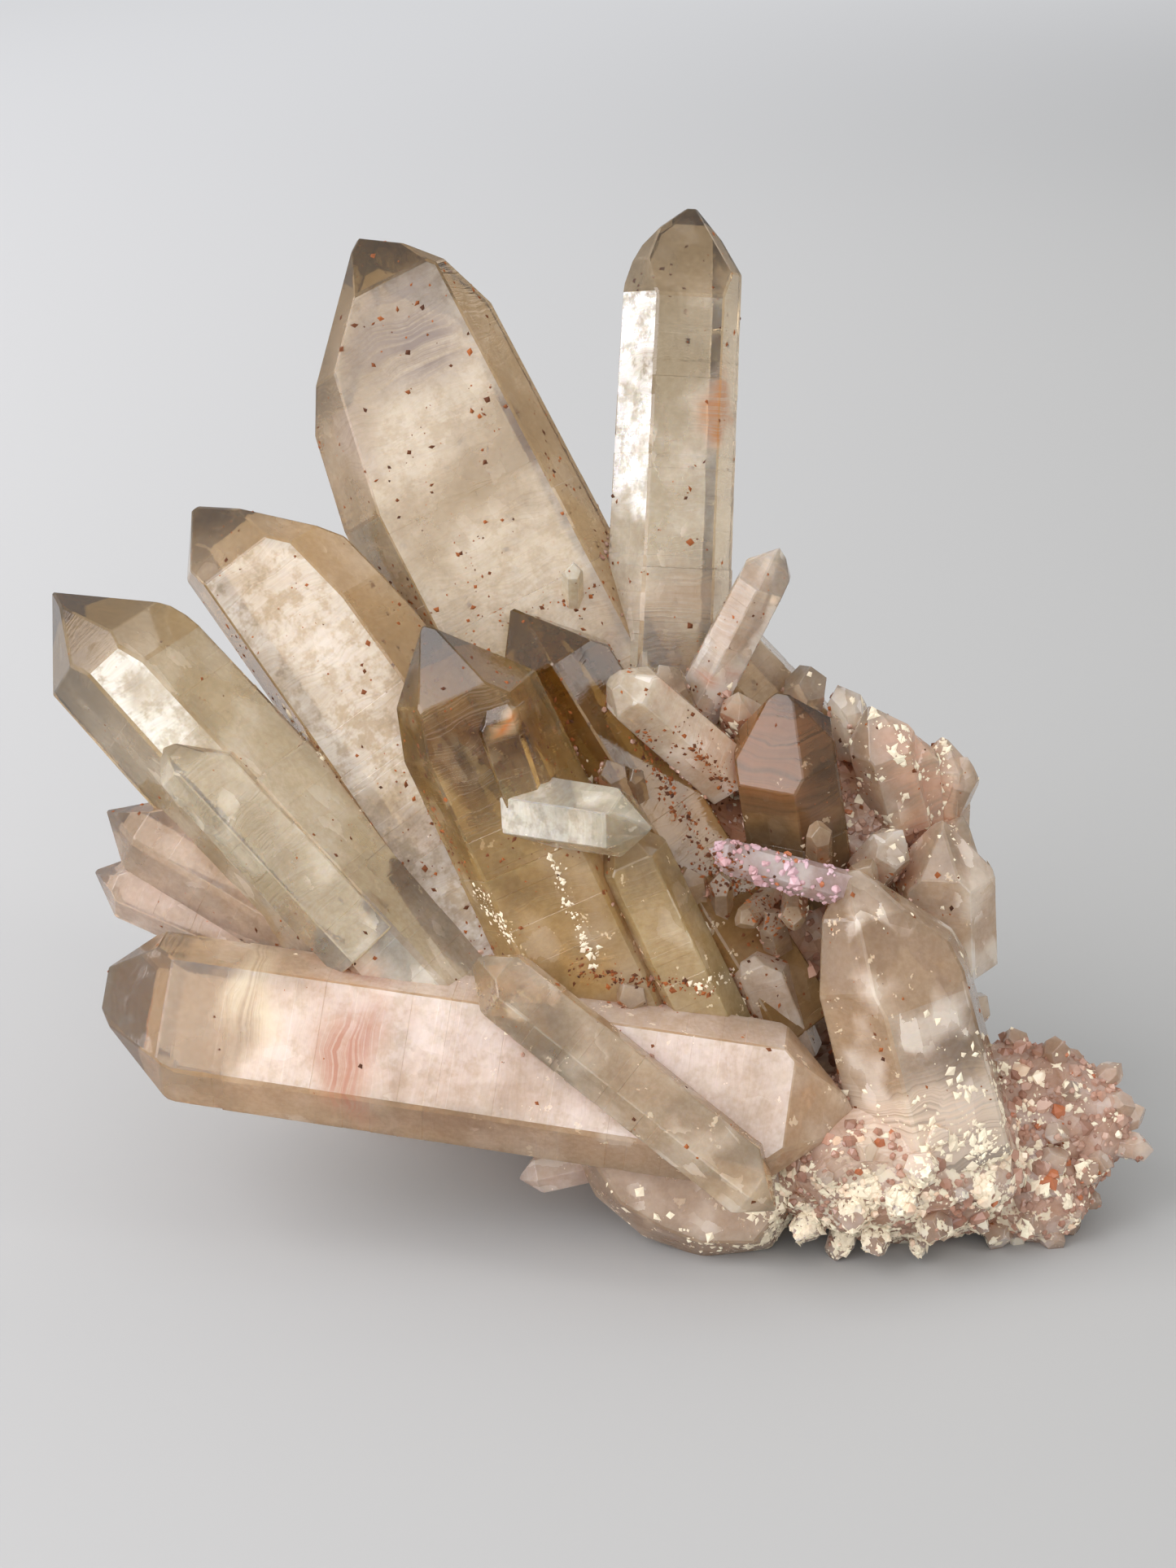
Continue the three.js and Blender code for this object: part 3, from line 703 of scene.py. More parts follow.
def fine_pieces(mesh, facts, shut):
    """The fine druse on the root and in the crevices, and crumbs of clay and iron."""
    rng = np.random.default_rng(14)
    places, corners = arrays(mesh)
    tri_face = np.empty(len(corners), dtype=np.int32)
    mesh.loop_triangles.foreach_get("polygon_index", tri_face)
    of = face_numbers(mesh, "which")[tri_face]
    names = np.array([c["name"] for c in facts])[of]
    kinds = np.array([c["kind"] for c in facts])[of]
    middle = places[corners].mean(axis=1)
    u, v, w = on_face(middle).T
    deep = shut[corners].mean(axis=1)
    clay = clay_material()

    def near(at_u, at_v, wide, high):
        """How near each triangle is to a place on the display face, from 1 there to 0 far away."""
        return np.exp(-(((u - at_u) / wide) ** 2 + ((v - at_v) / high) ** 2))

    # Clay lies on the foot, on the arm and on the right shoulder
    clayey = near(37, -57, 17, 7.5) * (w > 2) + 0.45 * near(58, -48, 12, 9) * (w > 0)
    clayey += 0.22 * near(44, 4, 9, 10) * (w > 0)

    crust = np.zeros(len(of))
    for name, thick in FINE_DRUSE.items():
        crust[names == name] = thick
    crust[kinds == "druse"] = 0.25
    crust += np.clip((deep - 0.42) / 0.3, 0, 1) * (kinds != "lump") * (u > -18) * 0.55
    crust[middle[:, 2] < 1.8] = 0
    count = FINE_DRUSE_COUNT
    at, out, picked = on_surface(places, corners, crust, count, rng)
    half = rng.uniform(0.30, 0.68, count) * np.where(rng.random(count) < 0.15, 1.9, 1.0)
    half *= np.where(kinds[picked] == "lump", 1.15, 0.75)
    out = out + rng.normal(0, 0.34, (count, 3))
    sizes = np.stack([half, half, half * rng.uniform(0.4, 1.0, count)], axis=1)
    shapes, faces = small_crystals(count, rng)
    pale = rng.random(count)[:, None]
    tones = np.array((0.30, 0.165, 0.115)) * (1 - pale) + np.array((0.56, 0.37, 0.28)) * pale
    tones[names[picked] == "lilac_splinter"] = (0.60, 0.42, 0.47)
    rusty = rng.random(count) < 0.05
    tones[rusty] = (0.46, 0.16, 0.07)
    coated = (pocked(at, 3.4) > 0.49) & (rng.random(count) < 1.5 * clayey[picked])
    tones[coated] = (0.92, 0.81, 0.63)
    strewn("fine_druse", shapes, faces, at, turned_to(out, rng.uniform(0, 6.28, count)), sizes, tones,
           druse_material())

    def clay_half(count, in_grooves):
        half = 0.14 + 0.85 * rng.random(count) ** 2.4
        half[-in_grooves:] *= 0.6
        return half

    def clay_tones(count):
        return np.minimum(np.array((0.94, 0.84, 0.66)) * rng.uniform(0.85, 1.05, (count, 1)), 0.92)

    patch = np.clip((pocked(middle, 3.4) - 0.46) / 0.08, 0, 1)
    weights = clayey * patch * ~np.isin(names, WITHOUT_CLAY)
    weights += 0.10 * np.clip((deep - 0.45) / 0.3, 0, 1) * (pocked(middle, 4.0) > 0.52) * (w > 0)
    weights[middle[:, 2] < 1.0] = 0
    surface = mesh, places, corners
    strew_chips("clay_chips", surface, weights, CLAY_COUNT, CLAY_GROOVES, clay_half, (0.15, 0.4),
                clay_tones, clay, rng)

    def iron_half(count, in_grooves):
        return 0.13 + 0.42 * rng.random(count) ** 2.4

    def iron_tones(count):
        return np.array((0.20, 0.056, 0.011)) * rng.uniform(0.3, 1.9, (count, 1))

    rate = np.array([SPECKS.get(c["name"], OTHER_SPECKS.get(c["kind"], 0.0)) for c in facts])[of]
    near_root = near(6, -2, 38, 44)
    flecked = np.clip((pocked(middle, 7.0) - 0.42) / 0.2, 0, 1)
    flecked *= np.clip((pocked(middle, 1.7) - 0.4) / 0.2, 0, 1)
    weights = (0.22 + near_root) * rate * (0.05 + flecked)
    weights += np.clip((deep - 0.35) / 0.35, 0, 1) * np.where(u > -25, 0.8, 0.3)
    weights[middle[:, 2] < 1.0] = 0
    strew_chips("iron_chips", surface, weights, IRON_COUNT, IRON_GROOVES, iron_half, (0.25, 0.5),
                iron_tones, clay, rng)


class Graph:
    """Builds a tree of shader nodes from calls that read like sums."""

    def __init__(self, tree):
        self.tree = tree
        tree.nodes.clear()

    def add(self, kind, inputs=None, out=0, **settings):
        node = self.tree.nodes.new(kind)
        for key, value in settings.items():
            setattr(node, key, value)
        for key, value in (inputs or {}).items():
            if isinstance(value, bpy.types.NodeSocket):
                self.tree.links.new(value, node.inputs[key])
            else:
                node.inputs[key].default_value = value
        return node.outputs[out]

    def math(self, operation, *values, clamp=False):
        return self.add("ShaderNodeMath", dict(enumerate(values)), operation=operation, use_clamp=clamp)

    def millimetres(self):
        """The place on the object."""
        return self.scaled(self.add("ShaderNodeTexCoord", out="Object"), 1 / MM)

    def times(self, a, b, clamp=False):
        return self.math("MULTIPLY", a, b, clamp=clamp)

    def plus(self, a, b):
        return self.math("ADD", a, b)

    def minus(self, a, b):
        return self.math("SUBTRACT", a, b)

    def less(self, value, share, most):
        """What is left of the value when a share takes off up to most of it."""
        return self.times(value, self.minus(1.0, self.times(share, most)))

    def vector(self, operation, *values, out=0):
        return self.add("ShaderNodeVectorMath", dict(enumerate(values)), out, operation=operation)

    def scaled(self, vector, factor):
        return self.add("ShaderNodeVectorMath", {0: vector, "Scale": factor}, operation="SCALE")

    def mix(self, share, a, b):
        """A colour from a, where share is 0, to b, where it is 1."""
        return self.add("ShaderNodeMix", {0: share, 6: a, 7: b}, 2, data_type="RGBA")

    def multiply(self, share, a, b):
        """The colour a, darkened by b as far as share goes."""
        return self.add("ShaderNodeMix", {0: share, 6: a, 7: b}, 2, data_type="RGBA",
                        blend_type="MULTIPLY")

    def between(self, share, a, b):
        """A number from a, where share is 0, to b, where it is 1."""
        return self.add("ShaderNodeMix", {0: share, 2: a, 3: b}, 0, data_type="FLOAT")

    def step(self, value, low, high, least=0.0, most=1.0):
        """A smooth step from least, where value is low, to most, where it is high."""
        return self.add("ShaderNodeMapRange", {0: value, 1: low, 2: high, 3: least, 4: most},
                        interpolation_type="SMOOTHSTEP")

    def noise(self, place, size, detail, rough):
        return self.add("ShaderNodeTexNoise", {"Vector": place, "Scale": 1 / size, "Detail": detail,
                                               "Roughness": rough})

    def stripes(self, place, size, detail, rough):
        """Noise along a single number."""
        return self.add("ShaderNodeTexNoise", {"W": place, "Scale": 1 / size, "Detail": detail,
                                               "Roughness": rough}, noise_dimensions="1D")

    def attribute(self, name, out="Fac"):
        return self.add("ShaderNodeAttribute", out=out, attribute_name=name)

    def bump(self, height, depth, strength=1.0, normal=None):
        inputs = {"Height": height, "Distance": depth * MM, "Strength": strength}
        if normal:
            inputs["Normal"] = normal
        return self.add("ShaderNodeBump", inputs)


def rgb(r, g, b):
    return (r, g, b, 1)


SMOKE = rgb(0.29, 0.165, 0.035)
ROOT_TONE = rgb(0.54, 0.37, 0.25)
WASH = rgb(0.46, 0.17, 0.08)
PALE_WISP_AND_GLINT = rgb(0.95, 0.90, 0.83)
WHITE = rgb(1, 1, 1)
QUARTZ_IOR = 1.544
CLAY = rgb(0.80, 0.70, 0.52)

# Where the marks lie, each as (centre, radii) on the display face
ROOT_LIES = (20, -26, -6), (46, 42, 44)
CLAY_LIES = (42, -57, 8), (26, 12, 24)
BARE = (-60, -29, 16), (17, 14, 18)  # where the long low crystal has no frost

# Stains and painted shade, as (centre, radii, colour, strength) on the display face
STAINS_AND_SHADE = [
    ((-44, -28, 16), (5, 8, 12), (0.96, 0.86, 0.64), 0.5),  # yellowish band in the long low crystal
    ((-31, -34, 16), (5.5, 11, 12), (0.46, 0.21, 0.13), 0.8),  # beside it, a peach patch
    ((19, 50, 0), (1.8, 9, 9), (0.50, 0.19, 0.05), 0.75),  # streak on the upright crystal
    ((-11, 6.5, 24), (2.2, 4, 5), (0.55, 0.20, 0.05), 0.85),  # rust in the left one of the centre
    ((17, 14, 12), (7, 2, 8), (0.45, 0.13, 0.04), 0.6),  # rust beside the small right one
    ((24, 4, 14), (14, 10, 12), (0.55, 0.22, 0.09), 0.35),  # rust round the amber point
    ((46, 2, 4), (8, 14, 12), (0.78, 0.38, 0.24), 0.45),  # flush of the right shoulder
    ((-25, 60, 15), (14, 9, 24), (0.26, 0.20, 0.17), 0.95),  # shadow under the end of the great one
    # painted shade down the left edge of the great one
    ((-32, 49, 15), (5, 13, 24), (0.40, 0.33, 0.31), 0.6),
    ((12, 25, 6), (15, 8, 16), (0.34, 0.21, 0.11), 0.6),  # the foot of the upright crystal
    ((46, -45, 18), (15, 8, 16), (0.78, 0.62, 0.48), 0.95),  # the worn crystal's end under the crust
]


def looking(tone, clear, wisps, reach, smoke=0, frost_and_sheen=None, frost_and_sheen_tone=(0.88, 0.80, 0.76), frost_and_sheen_to=500):
    """How a crystal looks: its tone where it is milky, how clear it is, how many pale wisps it has,
    how far down its tip is smoky and how much, how frosted each of its faces is, the frost's colour
    and how far from the tip the frost goes. The frost is partly a real frosted skin and partly a painted
    sheen on the faces that look out."""
    return dict(tone=tone, clear=clear, wisps=wisps, reach=reach, smoke=smoke, frost_and_sheen=frost_and_sheen or {},
                frost_and_sheen_tone=frost_and_sheen_tone, frost_and_sheen_to=frost_and_sheen_to)


# The frost amounts and tones below are partly real frost and partly painted sheen on the faces that look
# out
LOOKS = {
    "great_left": looking((0.85, 0.71, 0.53), 0.82, 0.2, smoke=1.0, reach=20, frost_and_sheen={0: 0.40, 5: 0.05},
        frost_and_sheen_tone=(0.82, 0.79, 0.72)),
    "upright": looking((0.96, 0.88, 0.76), 0.86, 0.5, smoke=0.85, reach=15, frost_and_sheen_to=42,
        frost_and_sheen={5: 0.95, 0: 0.10, 1: 0.06}, frost_and_sheen_tone=(0.98, 0.97, 0.94)),
    "middle_left": looking((0.84, 0.66, 0.44), 0.80, 0.3, smoke=0.7, reach=13, frost_and_sheen={0: 0.56},
        frost_and_sheen_tone=(0.84, 0.83, 0.81)),
    "outer_left": looking((0.95, 0.86, 0.69), 0.80, 0.5, smoke=1.25, reach=18, frost_and_sheen_to=30,
        frost_and_sheen={0: 0.72, 1: 0.14}, frost_and_sheen_tone=(0.93, 0.94, 0.91)),
    "satellite": looking((0.94, 0.85, 0.68), 0.82, 0.6, smoke=0.4, reach=6, frost_and_sheen={0: 0.06}),
    "pink_upper": looking((0.84, 0.64, 0.50), 0.74, 0.5, smoke=0.3, reach=7),
    "pink_lower": looking((0.86, 0.66, 0.54), 0.74, 0.6, smoke=0.2, reach=6),
    "long_low": looking((0.93, 0.73, 0.55), 0.68, 0.4, smoke=0.1, reach=8, frost_and_sheen={0: 0.50, 1: 0.35},
        frost_and_sheen_tone=(0.76, 0.67, 0.67)),
    "cross_shard": looking((0.95, 0.75, 0.52), 0.84, 0.5, smoke=0.3, reach=10, frost_and_sheen={0: 0.05}),
    "nub": looking((0.84, 0.62, 0.52), 0.6, 0.6, reach=5),
    "centre_left": looking((0.86, 0.65, 0.29), 0.80, 0.3, smoke=0.8, reach=14),
    "centre_left_inner": looking((0.86, 0.66, 0.34), 0.84, 0.6, smoke=0.2, reach=6, frost_and_sheen={1: 0.15}),
    "centre_right": looking((0.56, 0.34, 0.08), 0.82, 0.12, smoke=0.8, reach=16),
    "centre_rib": looking((0.82, 0.61, 0.27), 0.80, 0.3, smoke=0.6, reach=12, frost_and_sheen={0: 0.1}),
    "centre_finger": looking((0.98, 0.92, 0.76), 0.78, 1.0, reach=6, frost_and_sheen={0: 0.55, 1: 0.3, 5: 0.4},
        frost_and_sheen_tone=(0.96, 0.92, 0.82)),
    "thumb": looking((0.94, 0.78, 0.60), 0.56, 1.0, reach=6, frost_and_sheen={0: 0.2}),
    "small_right": looking((0.96, 0.84, 0.73), 0.72, 1.0, reach=6, frost_and_sheen={1: 0.3}),
    "slope_right": looking((0.74, 0.54, 0.34), 0.66, 0.4, smoke=0.1, reach=8),
    "amber_point": looking((0.20, 0.11, 0.02), 0.88, 0.1, reach=20, frost_and_sheen={END: 0.3},
        frost_and_sheen_tone=(0.18, 0.14, 0.15)),
    "lilac_splinter": looking((0.82, 0.62, 0.62), 0.74, 1.0, reach=6, frost_and_sheen={0: 0.2}),
    "egg": looking((0.90, 0.75, 0.60), 0.88, 1.0, smoke=0.05, reach=10, frost_and_sheen={0: 0.04}),
    "block_low": looking((0.84, 0.66, 0.50), 0.66, 0.6, reach=6),
    "short_23": looking((0.86, 0.76, 0.60), 0.45, 0.2, reach=4),
}
OTHER_LOOKS = {
    "lump": looking((0.62, 0.37, 0.26), 0.25, 0.5, reach=1),
    "blade": looking((0.82, 0.58, 0.40), 0.66, 0.6, reach=1),
    "crevice": looking((0.70, 0.50, 0.33), 0.78, 0.4, smoke=0.05, reach=5),
    "short": looking((0.92, 0.73, 0.56), 0.70, 0.8, smoke=0.05, reach=5),
    "druse": looking((0.76, 0.51, 0.38), 0.50, 0.7, reach=1),
}
# Crystals of at least that half width are multiplied by that tone on their faces without frost
STOUT, SIDE_TONE = 7, (0.86, 0.76, 0.64)
SIDE_SMOKE = 0.62  # share of its tip's smoke that a crystal has on the prism faces


def smooth(values, low, high):
    """A smooth step from 0, where the value is low, to 1, where it is high."""
    share = np.clip((values - low) / (high - low), 0, 1)
    return share * share * (3 - 2 * share)


def paint(mesh):
    """Stores how the wide marks lie over the mesh: clouds, root, clay, and stains with some painted shade.
    """
    places = arrays(mesh)[0]
    vectors = [Vector(p) for p in places]
    clouds = [noise.fractal(p / 15, 1.0, 2.1, 3) for p in vectors]
    hazes = [noise.fractal(p / 6.5 + Vector((3, 8, 5)), 0.8, 2.1, 2) for p in vectors]
    store(mesh, "cloud", 0.5 + 0.5 * np.array(clouds), "POINT")
    store(mesh, "haze", 0.5 + 0.5 * np.array(hazes), "POINT")
    bent = on_face(places) + 5 * np.array([noise.noise_vector(p / 8) for p in vectors])

    def shell(centre, radii):
        """How far each point is from the centre, 1 being on the ellipsoid of those radii."""
        return np.sqrt((((bent - centre) / radii) ** 2).sum(axis=1))

    store(mesh, "root", smooth(shell(*ROOT_LIES), 1.25, 0.55), "POINT")
    store(mesh, "low", smooth(shell(*CLAY_LIES), 1.2, 0.7), "POINT")
    store(mesh, "bare", smooth(shell(*BARE), 1.15, 0.75), "POINT")
    share, tones = np.zeros(len(places)), np.ones((len(places), 3))
    for centre, radii, tone, strength in STAINS_AND_SHADE:
        here = smooth(shell(centre, radii), 1.2, 0.4) * strength
        share = np.maximum(share, here)
        tones += (np.array(tone) - tones) * (here >= share)[:, None]
    store(mesh, "stain_and_shade", share, "POINT")
    store(mesh, "stain_and_shade_tone", tones, "POINT")


def dress(mesh, facts):
    """Tells the material, face by face, which way the crystal grew and how it looks."""
    which, what = face_numbers(mesh, "which"), face_numbers(mesh, "what")
    turned = STANDING.to_3x3()
    axes = [turned @ (c["tip"] - c["foot"]).normalized() for c in facts]
    tips = [axis.dot(STANDING @ c["tip"]) for axis, c in zip(axes, facts)]
    looks = [LOOKS.get(c["name"]) or OTHER_LOOKS[c["kind"]] for c in facts]
    frost_and_sheen_amounts = np.zeros((len(facts), CHAMFER + 1))
    for i, look in enumerate(looks):
        for k, amount in look["frost_and_sheen"].items():
            frost_and_sheen_amounts[i, k] = amount
    big = np.array([c["kind"] == "long" for c in facts])[which]
    stout = big & np.array([c["half"] >= STOUT for c in facts])[which]
    crystals = np.array([c["kind"] not in ("lump", "blade") for c in facts])[which]
    at_end = (what >= END) & (what < FOOT_END)

    told = {"axis": np.array(axes)[which], "tip_at": np.array(tips)[which]}
    for key in ("tone", "frost_and_sheen_tone", "clear", "wisps", "smoke", "reach", "frost_and_sheen_to"):
        told[key] = np.array([look[key] for look in looks])[which]
    told["tone"][stout & (frost_and_sheen_amounts[which, what] == 0)] *= SIDE_TONE
    told["smoke"] = told["smoke"] * np.where(at_end, 1.0, SIDE_SMOKE)
    told["frost_and_sheen"] = frost_and_sheen_amounts[which, what]
    told["prism"] = (what < FACES) & crystals
    told["massive"] = ~crystals
    told["big"] = big
    for key, values in told.items():
        store(mesh, key, values)


def finish_material(g, surface, volume=None):
    """Joins the surface, and what is inside, to the material's output."""
    end = g.tree.nodes.new("ShaderNodeOutputMaterial")
    g.tree.links.new(surface, end.inputs["Surface"])
    if volume:
        g.tree.links.new(volume, end.inputs["Volume"])


def new_material(name):
    """A material and its graph."""
    material = bpy.data.materials.new(name)
    material.use_nodes = True
    return material, Graph(material.node_tree)


def quartz_material():
    """Clear quartz with smoke, wisps, frost, stains and clay."""
    material, g = new_material("citrine")
    mm = g.millimetres()
    axis = g.attribute("axis", "Vector")
    along = g.vector("DOT_PRODUCT", mm, axis, out="Value")
    below = g.minus(g.attribute("tip_at"), along)
    lengthwise = g.scaled(axis, along)
    across = g.vector("SUBTRACT", mm, lengthwise)

    cloud, haze, prism, massive, cavity, root = (
        g.attribute(name) for name in ("cloud", "haze", "prism", "massive", "cavity", "root"))

    # Growth: fine lines across the crystal, and broader bands
    sway = g.plus(along, g.times(haze, 3.0))
    lines, bands = g.stripes(sway, 0.5, 2, 0.65), g.stripes(sway, 3.4, 3, 0.6)
    grains = g.noise(mm, 0.8, 2, 0.6)

    # Tone: smoky tip, pale body, pinkish root
    billows = g.minus(cloud, 0.5)
    down = g.math("DIVIDE", g.plus(below, g.times(billows, 8.0)), g.attribute("reach"))
    smoky = g.times(g.attribute("smoke"), g.step(down, 1.7, 0.3))
    colour = g.mix(smoky, g.attribute("tone", "Vector"), SMOKE)
    colour = g.mix(g.times(root, 0.36), colour, ROOT_TONE)
    banded = g.mix(g.step(bands, 0.30, 0.70), rgb(0.74, 0.70, 0.64), WHITE)
    colour = g.multiply(g.times(prism, 0.2), colour, banded)
    grained = g.mix(g.step(grains, 0.3, 0.72), rgb(0.80, 0.75, 0.68), WHITE)
    colour = g.multiply(0.7, colour, grained)

    # How clear it is: hazier further down, and uneven like a cloud
    clear = g.attribute("clear")
    clear = g.between(g.step(down, 0.2, 2.4), g.plus(clear, 0.08), clear)
    clear = g.between(smoky, clear, 0.90)
    clear = g.plus(clear, g.times(billows, -0.3))
    clear = g.times(clear, g.step(root, 0, 1, 1.0, 0.72))

    # Pale clouds inside, broken up by the facets of healed cracks; the brightest facets are painted glints
    wisps = g.attribute("wisps")
    stretched = g.vector("ADD", across, g.scaled(lengthwise, 0.55))
    warped = g.vector("ADD", stretched, g.scaled(axis, g.times(grains, 1.2)))
    facet = g.add("ShaderNodeTexVoronoi", {"Vector": warped, "Scale": 1 / 2.1}, "Color", feature="F1")
    lift = g.add("ShaderNodeSeparateXYZ", {0: facet}, 0)
    cloudy = g.plus(haze, g.times(g.minus(lift, 0.5), 0.12))
    # painted glints: a few facets in hazy places made white
    painted_glint = g.times(g.step(lift, 0.84, 0.88), g.step(haze, 0.44, 0.56))
    wisp_and_glint = g.plus(g.times(g.step(cloudy, 0.40, 0.84), 0.8), g.times(painted_glint, 0.45))
    wisp_and_glint = g.less(g.times(wisp_and_glint, wisps, clamp=True), smoky, 0.8)
    colour = g.mix(g.times(wisp_and_glint, 0.6), colour, PALE_WISP_AND_GLINT)
    clear = g.less(clear, wisp_and_glint, 0.5)
    bare = g.attribute("bare")
    clear = g.between(bare, clear, 0.88)

    # Stains, and the painted shade listed with them, tint the colour and take from the clearness
    stain_and_shade = g.times(g.attribute("stain_and_shade"), g.step(g.plus(bands, lines), 0.6, 1.15, 0.45, 1.25))
    colour = g.mix(stain_and_shade, colour, g.attribute("stain_and_shade_tone", "Vector"))
    clear = g.less(clear, stain_and_shade, 0.6)

    # Frost and painted sheen: a thin pale skin with fine lines across the crystal, in part real frost and
    # in part a painted sheen on the faces that look out
    amount = g.times(g.less(g.attribute("frost_and_sheen"), stain_and_shade, 0.8), g.minus(1.0, bare))
    past_frost_and_sheen = g.minus(g.plus(below, g.times(haze, 24.0)), g.attribute("frost_and_sheen_to"))
    amount = g.times(amount, g.step(past_frost_and_sheen, 20.0, 4.0))
    uneven = g.plus(g.times(bands, 0.3), g.times(cloud, 0.9))
    cover = g.step(g.plus(uneven, g.times(amount, 0.9)), 0.55, 1.25)
    cover = g.times(cover, g.step(lines, 0.2, 0.7, 0.8, 1.0))
    dirt = g.noise(mm, 2.6, 3, 0.72)
    cover = g.times(cover, g.step(dirt, 0.36, 0.56, 0.45, 1.0))
    frost_and_sheen = g.times(amount, cover)
    colour = g.mix(frost_and_sheen, colour, g.attribute("frost_and_sheen_tone", "Vector"))
    clear = g.less(clear, frost_and_sheen, 0.8)

    # Iron washed into the crevices, and clay in the lowest of them
    wash = g.step(g.plus(cavity, g.times(dirt, 0.5)), 0.60, 0.95)
    wash = g.times(wash, g.between(g.attribute("big"), 1.0, 0.3))
    colour = g.mix(g.times(wash, 0.65), colour, WASH)
    low = g.attribute("low")
    clay = g.step(g.plus(dirt, g.times(low, 0.13)), 0.64, 0.68)
    clay = g.times(clay, g.math("MAXIMUM", low, g.times(root, 0.6)))
    colour = g.mix(g.times(clay, 0.9), colour, CLAY)
    dull = g.math("MAXIMUM", clay, g.times(wash, 0.5))
    clear = g.times(clear, g.minus(1.0, dull), clamp=True)

    rough = g.between(frost_and_sheen, g.between(bands, 0.02, 0.12), 0.34)
    rough = g.between(massive, rough, 0.26)
    rough = g.between(clay, rough, 0.8)

    relief = g.plus(g.times(lines, g.between(prism, 0.1, 0.5)),
                    g.times(grains, g.between(massive, 0.10, 1.2)))
    tilt = g.times(g.times(wisps, g.step(haze, 0.30, 0.62)), 0.14)
    bent = g.vector("ADD", g.add("ShaderNodeNewGeometry", out="Normal"),
                    g.scaled(g.vector("SUBTRACT", facet, (0.5, 0.5, 0.5)), tilt))
    normal = g.bump(relief, 0.06, normal=g.vector("NORMALIZE", bent))

    surface = g.add("ShaderNodeBsdfPrincipled", {
        "Base Color": colour, "Roughness": rough, "IOR": QUARTZ_IOR, "Specular IOR Level": 0.30,
        "Transmission Weight": clear, "Normal": normal, "Subsurface Weight": 0.5,
        "Subsurface Radius": (1.0, 0.78, 0.5), "Subsurface Scale": 7 * MM,
    })
    inside = g.add("ShaderNodeVolumeAbsorption", {"Color": rgb(0.62, 0.46, 0.06), "Density": 33.0})
    finish_material(g, surface, inside)
    return material


def druse_material():
    material, g = new_material("druse")
    mm = g.millimetres()
    patches = g.noise(mm, 5, 4, 0.6)
    grains = g.noise(mm, 0.5, 3, 0.6)
    colour = g.multiply(0.8, g.attribute("tone", "Vector"),
                        g.mix(g.step(patches, 0.35, 0.65), rgb(0.78, 0.58, 0.50), WHITE))
    surface = g.add("ShaderNodeBsdfPrincipled", {
        "Base Color": colour, "Roughness": g.between(grains, 0.06, 0.3), "IOR": QUARTZ_IOR,
        "Normal": g.bump(grains, 0.04, 0.5),
    })
    finish_material(g, surface)
    return material


def clay_material():
    material, g = new_material("clay")
    mm = g.millimetres()
    grains = g.noise(mm, 0.25, 4, 0.7)
    colour = g.multiply(0.6, g.attribute("tone", "Vector"), g.mix(grains, rgb(0.7, 0.62, 0.5), WHITE))
    surface = g.add("ShaderNodeBsdfPrincipled", {
        "Base Color": colour, "Roughness": 0.85, "Normal": g.bump(grains, 0.05, 0.7)})
    finish_material(g, surface)
    return material


def floor_with_painted_shade():
    """A pale floor with painted shade, darker in front and to the right, as the wall in the photo is."""
    material, g = new_material("shaded_studio_floor")
    place = g.add("ShaderNodeTexCoord", out="Object")
    x, y = (g.add("ShaderNodeSeparateXYZ", {0: place}, i) for i in range(2))
    across = g.minus(g.times(y, 0.5), x)
    # painted shade: the colour darkens in front and to the right
    colour = g.mix(g.step(across, -0.35, 1.1), rgb(0.36, 0.36, 0.35), rgb(0.82, 0.82, 0.825))
    away = g.vector("LENGTH", place, out="Value")
    colour = g.mix(g.step(away, 0.9, 2.6), colour, rgb(0.80, 0.80, 0.805))
    finish_material(g, g.add("ShaderNodeBsdfDiffuse", {"Color": colour}))
    return material


LIT_PLACE = Vector((0, 0, 0.055))
FLOOR_REACH = 14
CAMERA_AWAY = 420  # from the middle of the display face
CAMERA_LENS = 70.6


def softbox(name, place, size, brightness, colour):
    """A square light of even brightness that looks at the cluster."""
    data = bpy.data.lights.new(name, "AREA")
    data.shape, data.size, data.size_y = "RECTANGLE", *size
    data.energy = brightness * math.pi * size[0] * size[1]
    data.color = colour
    light = put(name, data)
    light.location = place
    light.rotation_euler = (LIT_PLACE - Vector(place)).to_track_quat("-Z", "Y").to_euler()


bodies, facts = grown()
whole = joined(bodies)
refine(whole, facts)
shut = cavities(whole)
paint(whole)
fine_pieces(whole, facts, shut)
whole.transform(Matrix.Scale(MM, 4))
whole.name = "quartz_crystals"
dress(whole, facts)
whole.materials.clear()
whole.materials.append(quartz_material())
quartz = put("quartz_crystals", whole)
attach(quartz, "root")
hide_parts("crystal_cluster")

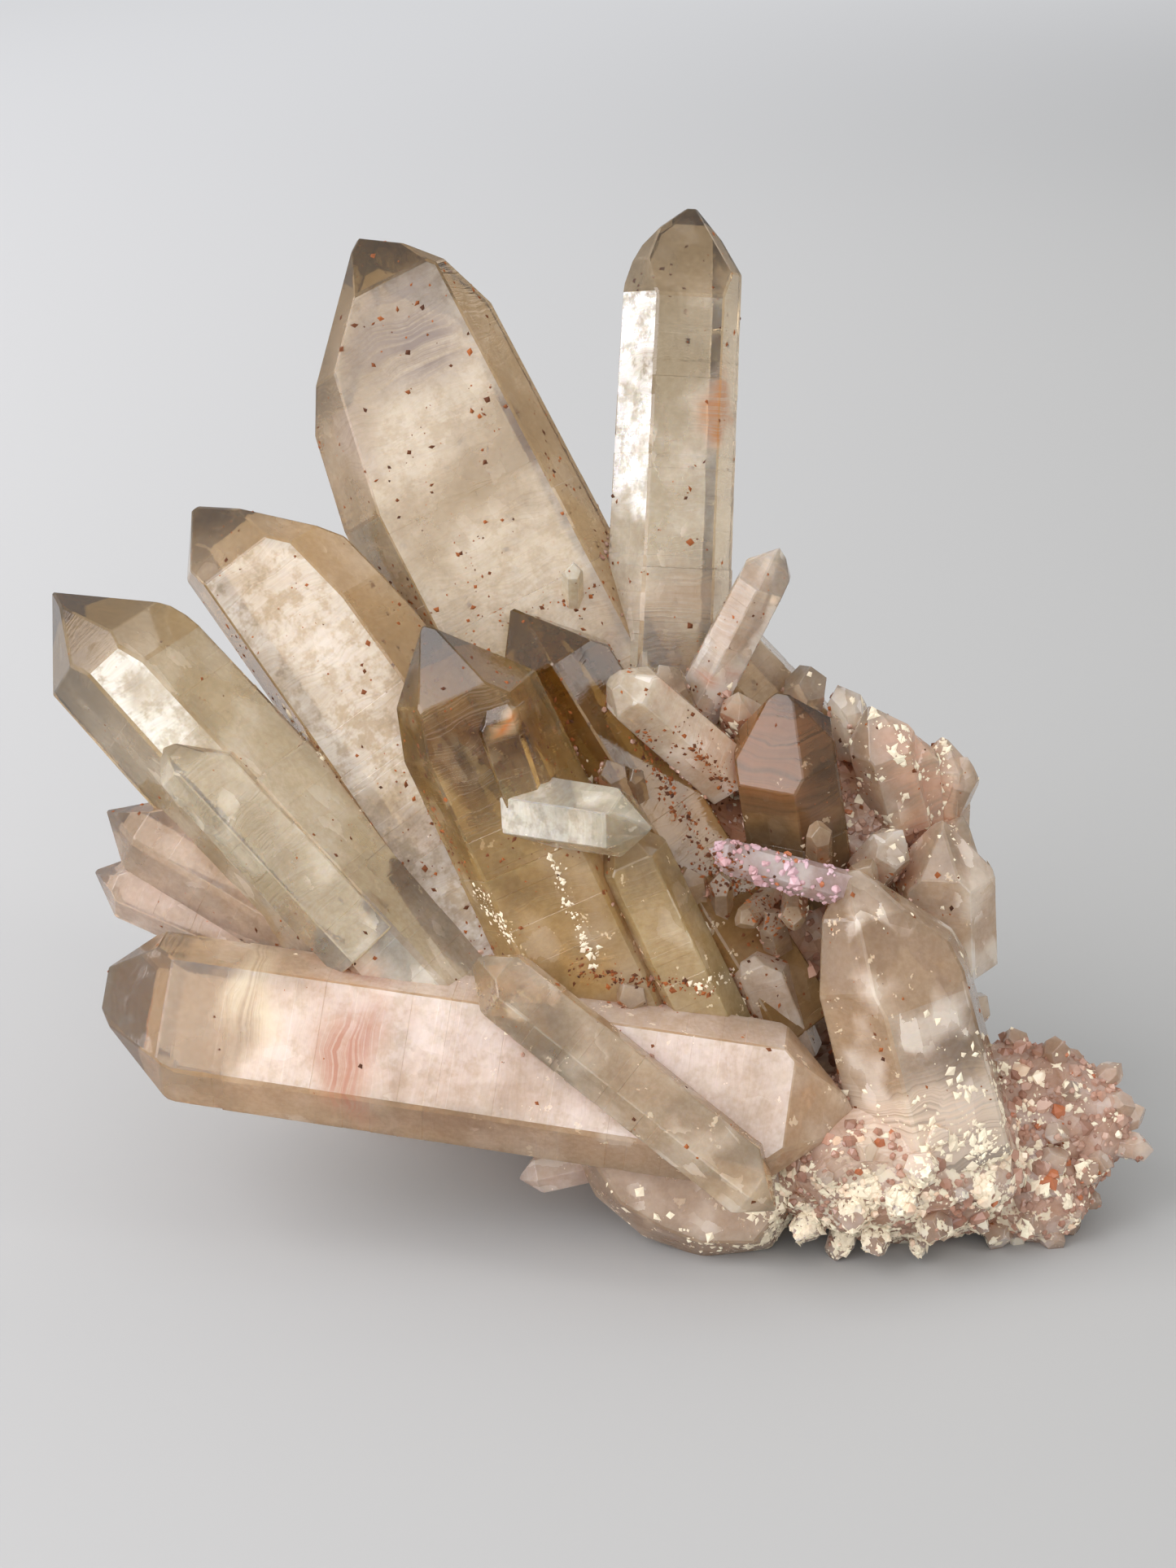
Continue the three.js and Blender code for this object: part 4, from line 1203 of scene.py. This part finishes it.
floor_mesh = bpy.data.meshes.new("shaded_studio_floor")
floor_corners = [(x * FLOOR_REACH, y * FLOOR_REACH, 0) for x, y in ((-1, -1), (1, -1), (1, 1), (-1, 1))]
floor_mesh.from_pydata(floor_corners, [], [(0, 1, 2, 3)])
floor_mesh.materials.append(floor_with_painted_shade())
floor = put("shaded_studio_floor", floor_mesh)

world = bpy.data.worlds.new("studio")
world.use_nodes = True
g = Graph(world.node_tree)
outward = g.add("ShaderNodeTexCoord", out="Generated")
way = g.vector("DOT_PRODUCT", outward, (-0.62, -0.36, 0.70), out="Value")
sky = g.mix(g.step(way, -0.75, 0.9), rgb(0.20, 0.205, 0.21), rgb(0.95, 0.96, 0.98))
background = g.add("ShaderNodeBackground", {"Color": sky, "Strength": 1.0})
end = g.tree.nodes.new("ShaderNodeOutputWorld")
g.tree.links.new(background, end.inputs["Surface"])
world.cycles.sampling_method = "NONE"
bpy.context.scene.world = world

softbox("window_left", (-0.80, -0.35, 0.55), (0.95, 1.1), 3.6, (0.98, 0.96, 1.0))
softbox("window_front", (-0.15, -0.90, 0.62), (0.9, 0.6), 1.5, (0.98, 0.95, 1.0))
softbox("fill_low", (0.15, -0.80, 0.13), (0.9, 0.24), 1.4, (1.0, 0.96, 0.92))
softbox("strip_right", (0.62, -0.30, 0.42), (0.12, 0.8), 3.5, (1.0, 0.98, 0.95))
softbox("fill_back", (0.5, 0.55, 0.6), (0.6, 0.6), 1.0, (1.0, 0.98, 0.94))

scene = bpy.context.scene
scene.view_settings.view_transform = "Standard"
scene.cycles.max_bounces = 8
scene.cycles.transmission_bounces = 7
scene.cycles.diffuse_bounces = 2
scene.cycles.glossy_bounces = 3
scene.cycles.caustics_reflective = False
scene.cycles.use_light_tree = False

camera_data = bpy.data.cameras.new("camera")
camera_data.lens = CAMERA_LENS
camera_data.clip_start, camera_data.clip_end = 0.01, 50
camera = put("camera", camera_data)
lean = math.radians(FACE_LEAN)
camera.location = (FACE_CENTRE + Vector((0, -math.cos(lean), math.sin(lean))) * CAMERA_AWAY) * MM
camera.rotation_euler = (math.radians(90 - FACE_LEAN), 0, 0)
scene.camera = camera
